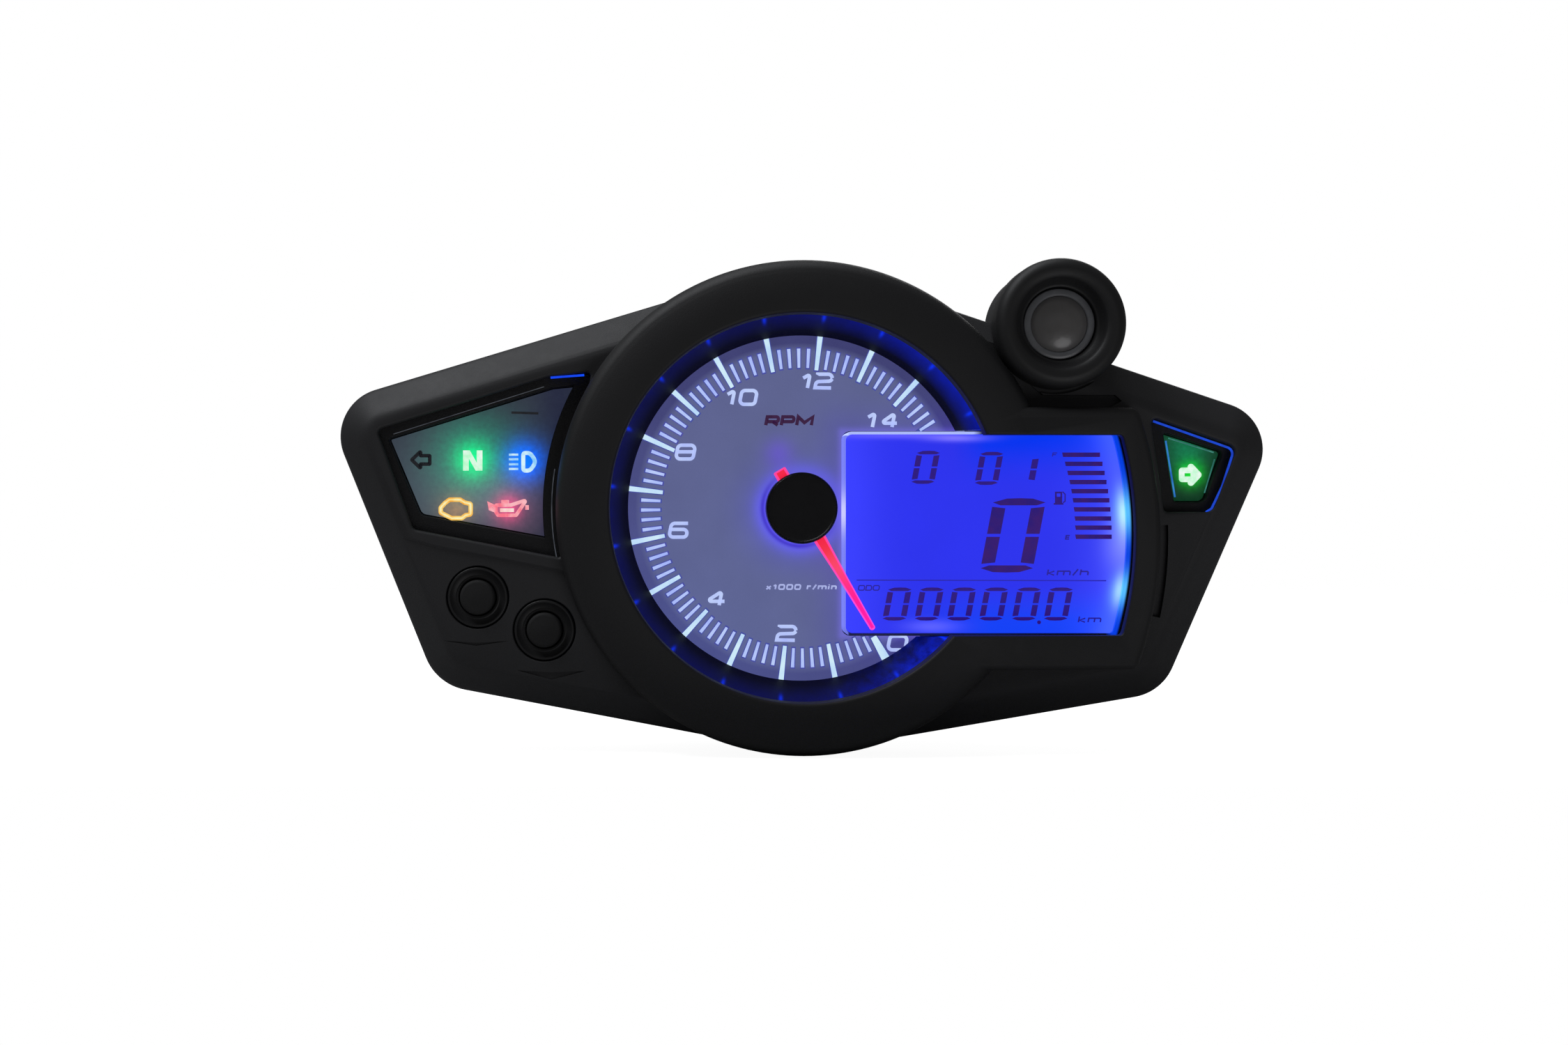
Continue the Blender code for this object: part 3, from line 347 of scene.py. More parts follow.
def cut(target, *others):
    combine(target, others, "DIFFERENCE")


def bevelled(obj, width, segments, angle=40):
    """Rounds the sharp edges of a simple solid."""
    modifier = obj.modifiers.new("edges", "BEVEL")
    modifier.width = width * MM
    modifier.segments = segments
    modifier.limit_method = "ANGLE"
    modifier.angle_limit = math.radians(angle)
    obj.data = apply_modifier(obj)
    obj.data.shade_smooth()
    obj.data.set_sharp_from_angle(angle=SMOOTH)
    return obj


def flared(name, outline_at, radius, top, low=UNDER):
    """A cutter for an opening with a rounded edge: outline_at(growth), and a height or function for top."""
    level = top if callable(top) else lambda x, z: top
    sections = [(outline_at(0.0), low)]
    steps = 5
    for i in range(steps + 1):
        angle = math.pi / 2 * i / steps
        drop = radius * (1 - math.sin(angle))
        outline = outline_at(radius * (1 - math.cos(angle)))
        sections.append((outline, lambda x, z, drop=drop: level(x, z) - drop))
    sections.append((outline_at(radius), OVER))
    return loft(name, sections)


def ribbon(bm, points, width, low, high, closed=False):
    """A flat band along the points, mitred at its corners; width is one number, or one for each point."""
    count = len(points)
    widths = width if isinstance(width, (list, tuple)) else [width] * count
    stations = []
    for i, point in enumerate(points):
        here = Vector(point)
        last = i == count - 1
        before = (here - Vector(points[i - 1])).normalized() if closed or i else None
        after = None if last and not closed else (Vector(points[(i + 1) % count]) - here).normalized()
        before = before or after
        after = after or before
        sides = Vector((-before.y, before.x)), Vector((-after.y, after.x))
        mitre = (sides[0] + sides[1]) / max(0.4, 1 + sides[0].dot(sides[1]))
        a = here + mitre * widths[i] / 2
        b = here - mitre * widths[i] / 2
        corners = ((a, low), (b, low), (b, high), (a, high))
        stations.append([bm.verts.new((p.x, -h, p.y)) for p, h in corners])
    for i in range(count if closed else count - 1):
        one, two = stations[i], stations[(i + 1) % count]
        for j in range(4):
            k = (j + 1) % 4
            bm.faces.new((one[j], one[k], two[k], two[j]))
    if not closed:
        bm.faces.new(list(reversed(stations[0])))
        bm.faces.new(stations[-1])


def slab(bm, outline, low, high):
    add_loft(bm, [(outline, low), (outline, high)])


# ---------------------------------------------------------------- lettering
def box_stroke(width):
    r = 0.28
    return [(0, 0, r), (width, 0, r), (width, 1, r), (0, 1, r)]


# Each letter is drawn with strokes that are 1 high: its width, closed strokes, open strokes. A stroke's
# points are x, z and, where the corner is rounded, its radius.
GLYPHS = {
    "0": (1.05, [box_stroke(1.05)], []),
    "1": (0.55, [], [[(0.0, 0.72), (0.42, 1, 0.1), (0.42, 0)]]),
    "2": (
        1.05,
        [],
        [[(0, 0.98), (0, 1), (1.05, 1, 0.28), (1.05, 0.5, 0.26), (0, 0.46, 0.26), (0, 0, 0.02), (1.1, 0)]],
    ),
    "4": (1.1, [], [[(0.82, 0), (0.82, 1, 0.1), (0, 0.28, 0.1), (1.1, 0.28)]]),
    "6": (
        1.05,
        [[(0, 0, 0.26), (1.05, 0, 0.26), (1.05, 0.56, 0.26), (0, 0.56, 0.02)]],
        [[(0, 0.5), (0, 1, 0.3), (1.0, 1)]],
    ),
    "8": (1.05, [box_stroke(1.05)], [[(0, 0.52), (1.05, 0.52)]]),
    "O": (1.3, [box_stroke(1.3)], []),
    "D": (1.2, [[(0, 0, 0.02), (1.2, 0, 0.34), (1.2, 1, 0.34), (0, 1, 0.02)]], []),
    "N": (1.0, [], [[(0, 0), (0, 1, 0.02), (1, 0, 0.02), (1, 1)]]),
    "R": (
        1.1,
        [],
        [[(0, 0), (0, 1, 0.02), (1.1, 1, 0.24), (1.1, 0.42, 0.22), (0.1, 0.42)], [(0.6, 0.42), (1.15, 0)]],
    ),
    "P": (1.1, [], [[(0, 0), (0, 1, 0.02), (1.1, 1, 0.24), (1.1, 0.42, 0.22), (0.1, 0.42)]]),
    "M": (1.4, [], [[(0, 0), (0, 1, 0.02), (0.7, 0.3, 0.02), (1.4, 1, 0.02), (1.4, 0)]]),
    "F": (0.9, [], [[(0, 0), (0, 1, 0.02), (0.95, 1)], [(0, 0.5), (0.8, 0.5)]]),
    "E": (0.9, [], [[(0.95, 0), (0, 0, 0.02), (0, 1, 0.02), (0.95, 1)], [(0, 0.5), (0.85, 0.5)]]),
    "k": (0.8, [], [[(0, 0), (0, 1)], [(0.75, 0.7), (0.08, 0.36), (0.8, 0)]]),
    "m": (1.5, [], [[(0, 0), (0, 0.7, 0.02), (1.5, 0.7, 0.2), (1.5, 0)], [(0.75, 0.6), (0.75, 0)]]),
    "h": (0.9, [], [[(0, 0), (0, 1)], [(0, 0.65), (0.9, 0.65, 0.2), (0.9, 0)]]),
    "x": (0.8, [], [[(0, 0), (0.8, 0.7)], [(0, 0.7), (0.8, 0)]]),
    "r": (0.6, [], [[(0, 0), (0, 0.7, 0.02), (0.65, 0.7)]]),
    "n": (0.85, [], [[(0, 0), (0, 0.7, 0.02), (0.85, 0.7, 0.2), (0.85, 0)]]),
    "i": (0.05, [], [[(0, 0), (0, 0.7)], [(0, 0.88), (0, 1.06)]]),
    "/": (0.5, [], [[(0, -0.05), (0.5, 1.05)]]),
    " ": (0.35, [], []),
}


def lettering(bm, text, centre, height, width, stroke, low, high, spacing=0.38):
    """Writes the text round centre, with its strokes' middles height apart and its whole length width."""
    advance = [GLYPHS[c][0] + spacing for c in text]
    length = sum(advance) - spacing
    scale = width / length
    x = 0.0
    for c, step in zip(text, advance):
        closed, opened = GLYPHS[c][1:]
        for line, is_closed in [(line, True) for line in closed] + [(line, False) for line in opened]:
            placed = []
            for u, v, *radius in line:
                up = (v - 0.5) * height
                across = centre[0] + (x + u - length / 2) * scale + up * SLANT
                placed.append((across, centre[1] + up, radius[0] * height if radius else 0.0))
            points = rounded(placed, 15, is_closed)
            if c in "24" and not is_closed:
                kept = [i for i, p in enumerate(points) if not i or math.dist(p, points[i - 1]) > 0.05]
                points = [points[i] for i in kept]
            ribbon(bm, points, stroke, low, high, is_closed)
        x += step


def seven_segment(bm, digit, centre, width, height, bar, thin, low, high):
    """A slanted digit of bars: the uprights are bar wide, and the level ones thin."""
    slant = 0.19
    lit = {"0": "abcdef", "1": "bc"}[digit]
    w, t = width / 2, height / 2
    gap = 0.35 if width > 8 else 0.2
    cut_in = bar * 0.35

    def place(points):
        return [(centre[0] + x + z * slant, centre[1] + z) for x, z in points]

    for side, upper, lower in ((1, "b", "c"), (-1, "f", "e")):
        for name, sign in ((upper, 1), (lower, -1)):
            if name in lit:
                end = t - thin - gap
                bars = [(w, gap), (w, end), (w - bar, end - cut_in * 0.3), (w - bar, gap)]
                points = place([(side * x, sign * z) for x, z in bars])
                slab(bm, points if side * sign > 0 else points[::-1], low, high)
    for name, sign in (("a", 1), ("d", -1)):
        if name in lit:
            shoulder, end = t - thin * 0.055, t - thin * 0.6
            bars = [(w, end), (w * 0.5, shoulder), (0, t), (-w * 0.5, shoulder), (-w, end)]
            bars += [(-w + bar * 0.6, t - thin), (0, t - thin), (w - bar * 0.6, t - thin)]
            slab(bm, place([(x, sign * z) for x, z in bars]), low, high)


# ---------------------------------------------------------------- materials
def feed(tree, socket, value):
    """Links a shader input to a value made of nodes, or sets it to a number or a colour."""
    if isinstance(value, (Num, Tint)):
        tree.links.new(value.socket, socket)
    elif socket.type == "RGBA":
        socket.default_value = (*value, 1.0)
    else:
        socket.default_value = value


def node_of(tree, kind, values, **settings):
    node = tree.nodes.new(kind)
    for key, value in settings.items():
        setattr(node, key, value)
    for key, value in values.items():
        feed(tree, node.inputs[key], value)
    return node


class Num:
    """A number at each point of a surface, made of shader nodes."""

    def __init__(self, tree, socket):
        self.tree, self.socket = tree, socket

    def do(self, operation, *values):
        node = node_of(self.tree, "ShaderNodeMath", dict(enumerate(values)), operation=operation)
        return Num(self.tree, node.outputs[0])

    def __add__(self, other):
        return self.do("ADD", self, other)

    def __sub__(self, other):
        return self.do("SUBTRACT", self, other)

    def __rsub__(self, other):
        return self.do("SUBTRACT", other, self)

    def __mul__(self, other):
        return self.do("MULTIPLY", self, other)

    def __truediv__(self, other):
        return self.do("DIVIDE", self, other)

    def __neg__(self):
        return self.do("MULTIPLY", self, -1.0)

    def to(self, power):
        return self.do("POWER", self, power)

    def size(self):
        return self.do("ABSOLUTE", self)

    def above(self, least):
        return self.do("MAXIMUM", self, least)

    def below(self, most):
        return self.do("MINIMUM", self, most)

    def clamp(self):
        return self.above(0.0).below(1.0)

    def cos(self):
        return self.do("COSINE", self)

    def fade(self, reach):
        """1 where this is 0, and falling off over reach on either side."""
        near = self / reach
        return self.do("EXPONENT", -(near * near))

    def ramp(self, start, end):
        """0 at start and 1 at end."""
        return ((self - start) / (end - start)).clamp()


class Tint:
    """A colour, or another vector, at each point of a surface."""

    def __init__(self, tree, socket):
        self.tree, self.socket = tree, socket

    def __add__(self, other):
        node = node_of(self.tree, "ShaderNodeVectorMath", {0: self, 1: other}, operation="ADD")
        return Tint(self.tree, node.outputs[0])

    def __mul__(self, factor):
        node = node_of(self.tree, "ShaderNodeVectorMath", {0: self, "Scale": factor}, operation="SCALE")
        return Tint(self.tree, node.outputs[0])


class Surface:
    """A Principled material whose inputs are built from the place on the object, in millimetres."""

    def __init__(self, name, **inputs):
        self.material = bpy.data.materials.new(name)
        self.material.use_nodes = True
        self.tree = self.material.node_tree
        self.shader = self.tree.nodes["Principled BSDF"]
        place = self.tree.nodes.new("ShaderNodeTexCoord").outputs["Object"]
        self.coords = Tint(self.tree, place)
        split = node_of(self.tree, "ShaderNodeSeparateXYZ", {0: self.coords})
        x, y, z = [Num(self.tree, split.outputs[i]) for i in range(3)]
        self.x, self.h, self.z = x * 1000.0, y * -1000.0, z * 1000.0
        self.set(**inputs)

    def set(self, **inputs):
        names = {
            "colour": "Base Color",
            "roughness": "Roughness",
            "metallic": "Metallic",
            "alpha": "Alpha",
            "specular": "Specular IOR Level",
            "coat": "Coat Weight",
            "coat_roughness": "Coat Roughness",
            "glow": "Emission Color",
            "strength": "Emission Strength",
        }
        for key, value in inputs.items():
            feed(self.tree, self.shader.inputs[names[key]], value)
        return self

    def noise(self, size, detail=2.0, roughness=0.5, stretch=None):
        """A cloudy pattern from 0 to 1, with features about size millimetres across."""
        place = self.coords
        if stretch:
            node = node_of(self.tree, "ShaderNodeVectorMath", {0: place, 1: stretch}, operation="MULTIPLY")
            place = Tint(self.tree, node.outputs[0])
        values = {"Vector": place, "Scale": 1000.0 / size, "Detail": detail, "Roughness": roughness}
        node = node_of(self.tree, "ShaderNodeTexNoise", values)
        return Num(self.tree, node.outputs["Fac"])

    def cells(self, size, feature="F1"):
        """A pattern of cells about size millimetres across."""
        values = {"Vector": self.coords, "Scale": 1000.0 / size}
        node = node_of(self.tree, "ShaderNodeTexVoronoi", values, feature=feature)
        return Num(self.tree, node.outputs["Distance"])

    def centre_distance(self, x=0.0, z=0.0):
        dx, dz = self.x - x, self.z - z
        return (dx * dx + dz * dz).to(0.5)

    def angle(self):
        """The direction round the pointer's axis, in radians anticlockwise from +X."""
        return self.x.do("ARCTAN2", self.z, self.x)

    def box_distance(self, left, right, bottom, top):
        """The distance outside a box in the plane of the face; 0 inside it."""
        dx = ((self.x - (left + right) / 2).size() - (right - left) / 2).above(0.0)
        dz = ((self.z - (bottom + top) / 2).size() - (top - bottom) / 2).above(0.0)
        return (dx * dx + dz * dz).to(0.5)

    def tint(self, colour, amount):
        node = node_of(self.tree, "ShaderNodeVectorMath", {0: colour, "Scale": amount}, operation="SCALE")
        return Tint(self.tree, node.outputs[0])

    def lights(self, *parts):
        """The sum of lights, each a colour and its amount; a negative colour takes light away."""
        total = self.tint(*parts[0])
        for colour, amount in parts[1:]:
            total = total + self.tint(colour, amount)
        return total

    def mix(self, one, two, factor):
        """The colour one where factor is 0, and two where it is 1."""
        node = node_of(self.tree, "ShaderNodeMix", {0: factor, 6: one, 7: two}, data_type="RGBA")
        return Tint(self.tree, node.outputs[2])

    def bump(self, height, depth):
        """Raises the surface by height, from 0 to 1, times depth in millimetres."""
        node = node_of(self.tree, "ShaderNodeBump", {"Distance": depth * MM, "Height": height})
        self.tree.links.new(node.outputs["Normal"], self.shader.inputs["Normal"])
        return self


def moulded(name, dark, light, rough, grain, depth, painted_light_below_ring=0.0):
    """Moulded plastic with a spark-eroded grain, flow clouds and scuffs, and painted light that makes its
    faces below the ring lighter.
    """
    made = Surface(name, specular=0.32)
    fine = made.noise(grain, 3.0, 0.6)
    clouds = made.noise(26.0, 3.0)
    scuffs = made.noise(3.2, 4.0, 0.7)
    grey = made.mix(dark, light, (clouds * 0.6 + fine * 0.55 - 0.1).clamp())
    made.set(
        # painted light: the colour is made lighter on faces lower than the ring's face, starting at h 43 and
        # in full at h 39 and below
        colour=grey * (made.h.ramp(43.0, 39.0) * painted_light_below_ring + 1.0) if painted_light_below_ring else grey,
        roughness=(clouds * 0.12 + scuffs * 0.1 + fine * 0.08 + (rough - 0.15)).clamp(),
    )
    return made.bump(fine * 0.8 + made.cells(grain * 1.6) * 0.3, depth).material


def metal(name, colour, rough, stretch):
    """Metal with drawn lines and stains."""
    made = Surface(name, metallic=1.0)
    lines = made.noise(0.4, 3.0, 0.6, stretch)
    stains = made.noise(4.0, 3.0)
    darker = tuple(c * 0.72 for c in colour)
    made.set(
        colour=made.mix(darker, colour, (lines * 0.5 + stains * 0.6).clamp()),
        roughness=(lines * 0.2 + stains * 0.12 + (rough - 0.1)).clamp(),
    )
    return made.bump(lines, 0.02).material


def inks(prefix, base, cloud, grain, depth, rows, strength=1.0):
    """Glowing inks, each mottled between two colours over cloud millimetres."""
    made = {}
    for key, one, two in rows:
        ink = Surface(prefix + key, colour=base, roughness=0.5, strength=strength)
        ink.set(glow=ink.mix(one, two, ink.noise(cloud, 3.0).ramp(0.35, 0.65)))
        made[key] = ink.bump(ink.noise(grain), depth).material
    return made


def scale_glow(made):
    """The backlit scale plate: brighter round the cap and beside the display, darker at its rim, and with a
    painted shadow of the cap at the cap's lower left.
    """
    radius = made.centre_distance()
    cloud = made.noise(9.0, 2.0)
    fine = made.noise(0.5, 2.0)
    rim = radius.ramp(37.6, 39.6)
    beside = made.box_distance(FRAME_LEFT, HOLDER.right, HOLDER.bottom, HOLDER.top)
    spread = (made.centre_distance(-34, -46) / 60.0).fade(0.6)
    lower_left = ((made.x * -0.75 - made.z * 0.66) / radius).ramp(-0.5, 0.7)
    outside = (radius - 8.4).above(0.0)
    return made.lights(
        ((0.118, 0.135, 0.300), cloud * 0.16 + fine * 0.06 + 0.84),
        ((-0.042, -0.052, -0.050), rim),
        ((-0.020, -0.024, -0.060), rim * made.z.ramp(0.0, 34.0)),
        ((0.028, 0.010, 0.56), outside.fade(2.6) * (lower_left * 0.35 + 0.65)),
        ((-0.004, -0.012, 0.14), outside.fade(6.5) * (lower_left * 0.6 + 0.4)),
        # painted shadow of the cap: a dark ring hugging the cap's edge at its lower left
        ((-0.075, -0.085, -0.30), (radius - 9.1).fade(0.6) * lower_left),
        ((0.02, -0.02, 0.22), made.centre_distance(-5.2, 13.2).fade(3.4)),
        ((0.05, 0.035, 0.24), beside.fade(1.1)),
        ((-0.01, -0.02, 0.05), beside.fade(6.0)),
        ((0.004, 0.012, 0.045), spread),
    )


def make_materials():
    made = {}
    # Each plastic's darkest and lightest colour, roughness, grain and its depth, and painted light on its
    # faces below the ring.
    for name, dark, light, *feel in (
        ("shell_plastic", (0.0095, 0.0095, 0.0104), (0.0145, 0.0145, 0.0158), 0.56, 0.22, 0.03, 0.9),
        ("rear_plastic", (0.009, 0.009, 0.0098), (0.015, 0.015, 0.016), 0.6, 0.3, 0.04),
        ("hood_plastic", (0.0095, 0.0095, 0.0102), (0.014, 0.014, 0.015), 0.5, 0.18, 0.02),
        ("dish_plastic", (0.0085, 0.0085, 0.0092), (0.0125, 0.0125, 0.0135), 0.46, 0.2, 0.02),
        ("button_rubber", (0.009, 0.009, 0.0095), (0.014, 0.014, 0.0145), 0.74, 0.14, 0.03),
        ("lamp_box_plastic", (0.004, 0.004, 0.0045), (0.007, 0.007, 0.0075), 0.62, 0.22, 0.03),
        ("white_plastic", (0.62, 0.62, 0.60), (0.78, 0.78, 0.76), 0.5, 0.3, 0.02),
        ("black_epoxy", (0.012, 0.012, 0.013), (0.024, 0.024, 0.025), 0.6, 0.12, 0.03),
    ):
        made[name] = moulded(name, dark, light, *feel)

    cap = Surface("cap_gloss", specular=0.35)
    swirl = cap.noise(1.2, 3.0, 0.6)
    black = cap.mix((0.0025, 0.0025, 0.003), (0.006, 0.006, 0.007), swirl)
    cap.set(colour=black, roughness=swirl * 0.1 + 0.2)
    made["cap"] = cap.bump(cap.noise(0.2, 2.0), 0.004).material

    lens = Surface("clear_lens", alpha=0.035, specular=0.5, colour=(0.02, 0.02, 0.03))
    haze = lens.noise(14.0, 3.0)
    made["lens"] = lens.set(roughness=haze * 0.05 + 0.03).bump(lens.noise(30.0, 1.0), 0.02).material

    dial = Surface("scale_print", colour=(0.02, 0.02, 0.035), strength=1.0, roughness=0.55, specular=0.2)
    dial.set(glow=scale_glow(dial))
    made["dial"] = dial.bump(dial.noise(0.16, 2.0), 0.01).material

    rows = (
        ("mark", (0.50, 0.72, 1.0), (0.66, 0.88, 1.0)),
        ("minor", (0.38, 0.48, 1.0), (0.52, 0.64, 1.0)),
        ("number", (0.42, 0.50, 1.0), (0.55, 0.66, 1.0)),
    )
    small = (("small_print", (0.34, 0.38, 0.75), (0.50, 0.56, 0.95)),)
    grey = (0.03, 0.03, 0.04)
    made |= inks("scale_", grey, 5.0, 0.2, 0.005, rows) | inks("scale_", grey, 5.0, 0.2, 0.005, small, 0.9)
    halo = Surface("mark_halo", colour=(0.01, 0.01, 0.03), roughness=0.6, strength=1.0)
    halo.set(glow=halo.mix((0.050, 0.075, 0.36), (0.070, 0.070, 0.38), halo.noise(7.0, 2.0).ramp(0.3, 0.7)))
    made["halo"] = halo.bump(halo.noise(0.2), 0.005).material
    word = Surface("dark_print", roughness=0.5, strength=1.0)
    word.set(
        colour=word.mix((0.02, 0.004, 0.012), (0.03, 0.008, 0.02), word.noise(0.6)),
        glow=word.mix((0.022, 0.004, 0.030), (0.045, 0.012, 0.060), word.noise(1.5)),
    )
    made["word"] = word.bump(word.noise(0.2), 0.005).material

    # The light ring: dark at its foot, deep blue towards its rim, with a lamp behind each thousand.
    ring = Surface("ring_light", colour=(0.002, 0.002, 0.01), roughness=0.5, strength=1.0, specular=0.1)
    radius = ring.centre_distance()
    turned = ring.angle() - math.radians(ZERO)
    lamps = (turned * 20.0).cos().above(0.0).to(50.0) * (radius - 45.2).fade(0.75)
    upper = (ring.angle() - math.radians(38)).size().fade(0.62)
    lower = (ring.angle() - math.radians(-42)).size().fade(0.42)
    height = radius.ramp(42.4, 45.6)
    patches = ring.noise(2.6, 3.0, 0.7, (1.0, 0.5, 1.0))
    deep = ring.lights(
        ((0.001, 0.001, 0.022), height * 0.8 + 0.25),
        ((0.0, 0.001, 0.07), height * (patches * 0.9 + 0.15)),
        ((0.0, 0.007, 0.30), upper * height * (patches * 0.8 + 0.5)),
        ((0.0, 0.02, 0.85), lower * (height * 0.7 + 0.3) * patches.ramp(0.25, 0.85)),
        ((0.0, 0.02, 0.62), lamps),
    )
    made["ring"] = ring.set(glow=deep).material

    # The display: blue, paler at its right where its lamps are.
    glass = Surface("display_blue", colour=(0.005, 0.005, 0.05), roughness=0.3, strength=1.0, specular=0.15)
    bow = glass.centre_distance(GLASS_RIGHT - BOW_R, (GLASS.top + GLASS.bottom) / 2) - BOW_R
    spots = (glass.z + 1.0).fade(4.6) + (glass.z + 19.5).fade(3.6) * 0.8
    cloud = glass.noise(12.0, 2.0)
    light = glass.lights(
        ((0.026, 0.034, 0.90), cloud * 0.1 + 0.95),
        ((-0.018, 0.024, 0.10), glass.z.ramp(-18.5, -27.0) * glass.x.ramp(20, 45)),
        ((0.018, 0.020, 0.16), (glass.x - HOLDER.left).fade(9.0)),
        ((0.016, 0.022, 0.10), (glass.x - 75.0).fade(10.0)),
        ((-0.027, 0.002, 0.03), (glass.z - GLASS.top).fade(7.0) * glass.x.ramp(36, 44)),
        ((0.16, 0.13, 0.2), (glass.z - 16.6).fade(0.8) * (glass.x - 37.0).fade(6.5)),
        ((0.09, 0.07, 0.2), (glass.z - 17.3).fade(0.8) * (glass.x - 24.0).fade(15.0)),
        ((0.09, 0.08, 0.2), (glass.z + 28.2).fade(1.5) * (glass.x - 31.0).fade(6.0)),
        ((0.20, 0.58, 0.4), spots * bow.fade(2.2)),
        ((0.20, 0.22, 0.3), spots * (bow + 0.6).fade(1.0)),
        ((0.04, 0.06, 0.2), bow.fade(4.0)),
        ((0.14, 0.15, 0.1), bow.fade(4.5) * (glass.z + 8.0).fade(6.0)),
    )
    made["display"] = glass.set(glow=light).bump(glass.noise(0.25), 0.004).material

    rows = (
        ("segment", (0.016, 0.002, 0.17), (0.034, 0.003, 0.15)),
        ("thin_segment", (0.018, 0.003, 0.22), (0.026, 0.004, 0.19)),
        ("fine_print", (0.012, 0.010, 0.34), (0.020, 0.010, 0.30)),
        ("divider", (0.016, 0.014, 0.50), (0.020, 0.016, 0.42)),
    )
    made |= inks("display_", (0.006, 0.002, 0.02), 3.0, 0.2, 0.003, rows)

    # The display's rim: it glows white at the top and left, and blue at the bowed right side.
    rim = Surface("display_rim", colour=(0.02, 0.02, 0.03), roughness=0.4, strength=1.0)
    to_right = rim.x.ramp(44.0, 60.0)
    left_side = (1.0 - (rim.x - HOLDER.left).ramp(1.5, 1.9))
    top_side = (rim.z - HOLDER.top).ramp(-1.0, -0.8) * (1.0 - rim.x.ramp(41.0, 43.0))
    hot = (rim.z + 1.0).fade(4.5)
    bow = rim.centre_distance(HOLDER.right - BOW_R, (HOLDER.top + HOLDER.bottom) / 2) - BOW_R
    strip = rim.x.ramp(72.5, 74.0) * (1.0 - bow.ramp(-1.7, -1.2))
    spots = (rim.z + 1.0).fade(5.0) + (rim.z + 19.5).fade(4.0)
    light = rim.lights(
        ((0.002, 0.004, 0.05), 1.0 - to_right),
        ((0.19, 0.22, 0.88), left_side * (rim.z + 36.0).ramp(0.0, 8.0)),
        ((0.42, 0.40, 0.12), left_side * hot),
        ((0.42, 0.50, 0.92), top_side),
        ((0.0, 0.05, 0.80), strip),
        ((0.10, 0.50, 0.30), strip * spots),
    )
    made["rim"] = rim.set(glow=light).bump(rim.noise(0.3), 0.004).material

    # The pointer glows red, turning pink towards its tip.
    needle = Surface("pointer_red", colour=(0.6, 0.01, 0.06), roughness=0.35, strength=1.0)
    along = needle.centre_distance()
    core = needle.mix((0.82, 0.006, 0.045), (1.0, 0.002, 0.40), along.ramp(12.0, 30.0))
    core = core + needle.tint((0.0, 0.05, 0.02), (along - 16.0).fade(5.0))
    made["needle"] = needle.set(glow=core).bump(needle.noise(0.4), 0.01).material
    edge = Surface("pointer_edge", colour=(0.6, 0.05, 0.2), roughness=0.35, strength=1.0)
    edge.set(glow=edge.mix((0.95, 0.05, 0.28), (1.0, 0.06, 0.62), edge.centre_distance().ramp(8.0, 26.0)))
    made["needle_edge"] = edge.bump(edge.noise(0.4), 0.01).material

    # Tell-tales: a grey printed sheet with a patch of colour round each lit lamp.
    sheet = Surface("telltale_print", colour=(0.02, 0.022, 0.03), roughness=0.6, strength=1.0, specular=0.2)
    mottle = sheet.noise(1.1, 3.0, 0.6)
    parts = [
        ((0.030, 0.038, 0.055), mottle * 0.3 + 0.85),
        ((0.035, 0.045, 0.055), (sheet.x + 87.0).fade(12.0) * (sheet.z - 2.0).fade(16.0)),
        ((0.045, 0.040, 0.075), (sheet.x + 72.0).fade(9.0) * (sheet.z - 2.0).fade(7.0)),
        ((-0.012, -0.016, -0.006), (sheet.x + 58.0).fade(5.5)),
        ((-0.028, -0.005, -0.044), sheet.x.ramp(0.0, 1.0)),
    ]
    # Where each patch is, how far its light reaches and its colour, and the same for the light round it.
    for x, z, near, colour, wide, spill in (
        (-78.1, 11.4, 3.9, (-0.03, 0.74, 0.11), 9.0, (-0.010, 0.24, 0.12)),
        (-65.9, 11.0, 3.9, (-0.03, 0.10, 1.3), 6.0, (-0.010, 0.040, 0.22)),
        (-82.1, -0.35, 3.0, (0.20, 0.075, 0.0), 5.5, (0.060, 0.035, 0.010)),
        (-69.7, 0.0, 2.8, (0.72, -0.01, 0.09), 6.5, (0.10, 0.015, 0.050)),
        (92.4, 8.2, 2.6, (0.0, 0.62, 0.005), 3.4, (0.0, 0.06, 0.0)),
        (91.5, 14.0, 4.5, (0.0, 0.12, 0.045), 6.0, (0.0, 0.02, 0.01)),
    ):
        away = sheet.centre_distance(x, z)
        parts.append((colour, away.fade(near) * (mottle * 0.9 + 0.55)))
        parts.append((spill, away.fade(wide) * (mottle * 0.8 + 0.6)))
    made["sheet"] = sheet.set(glow=sheet.lights(*parts)).bump(mottle, 0.01).material

    rows = (
        ("lit_green", (0.88, 1.0, 0.92), (0.50, 1.0, 0.62)),
        ("lit_blue", (0.72, 0.94, 1.0), (0.25, 0.62, 1.0)),
        ("lit_amber", (1.0, 0.66, 0.16), (1.0, 0.42, 0.03)),
        ("lit_gold", (1.0, 0.92, 0.50), (1.0, 0.72, 0.22)),
        ("lit_red", (1.0, 0.50, 0.54), (1.0, 0.18, 0.26)),
        ("lit_white", (1.0, 0.86, 0.80), (1.0, 0.60, 0.56)),
        ("unlit", (0.004, 0.005, 0.007), (0.010, 0.011, 0.014)),
        # The edge_ inks glow as painted highlights and painted reflections on the edges of the tell-tales'
        # panes, boxes and sheets.
        ("edge_grey", (0.060, 0.066, 0.078), (0.030, 0.034, 0.042)),
        ("edge_blue", (0.0, 0.07, 0.95), (0.0, 0.03, 0.70)),
        ("edge_deep", (0.0, 0.060, 0.66), (0.0, 0.035, 0.46)),
        ("edge_teal", (0.010, 0.13, 0.52), (0.03, 0.24, 0.62)),
        ("edge_pale", (0.05, 0.25, 0.20), (0.02, 0.13, 0.11)),
    )
    made |= inks("telltale_", (0.01, 0.01, 0.012), 2.0, 0.3, 0.005, rows)

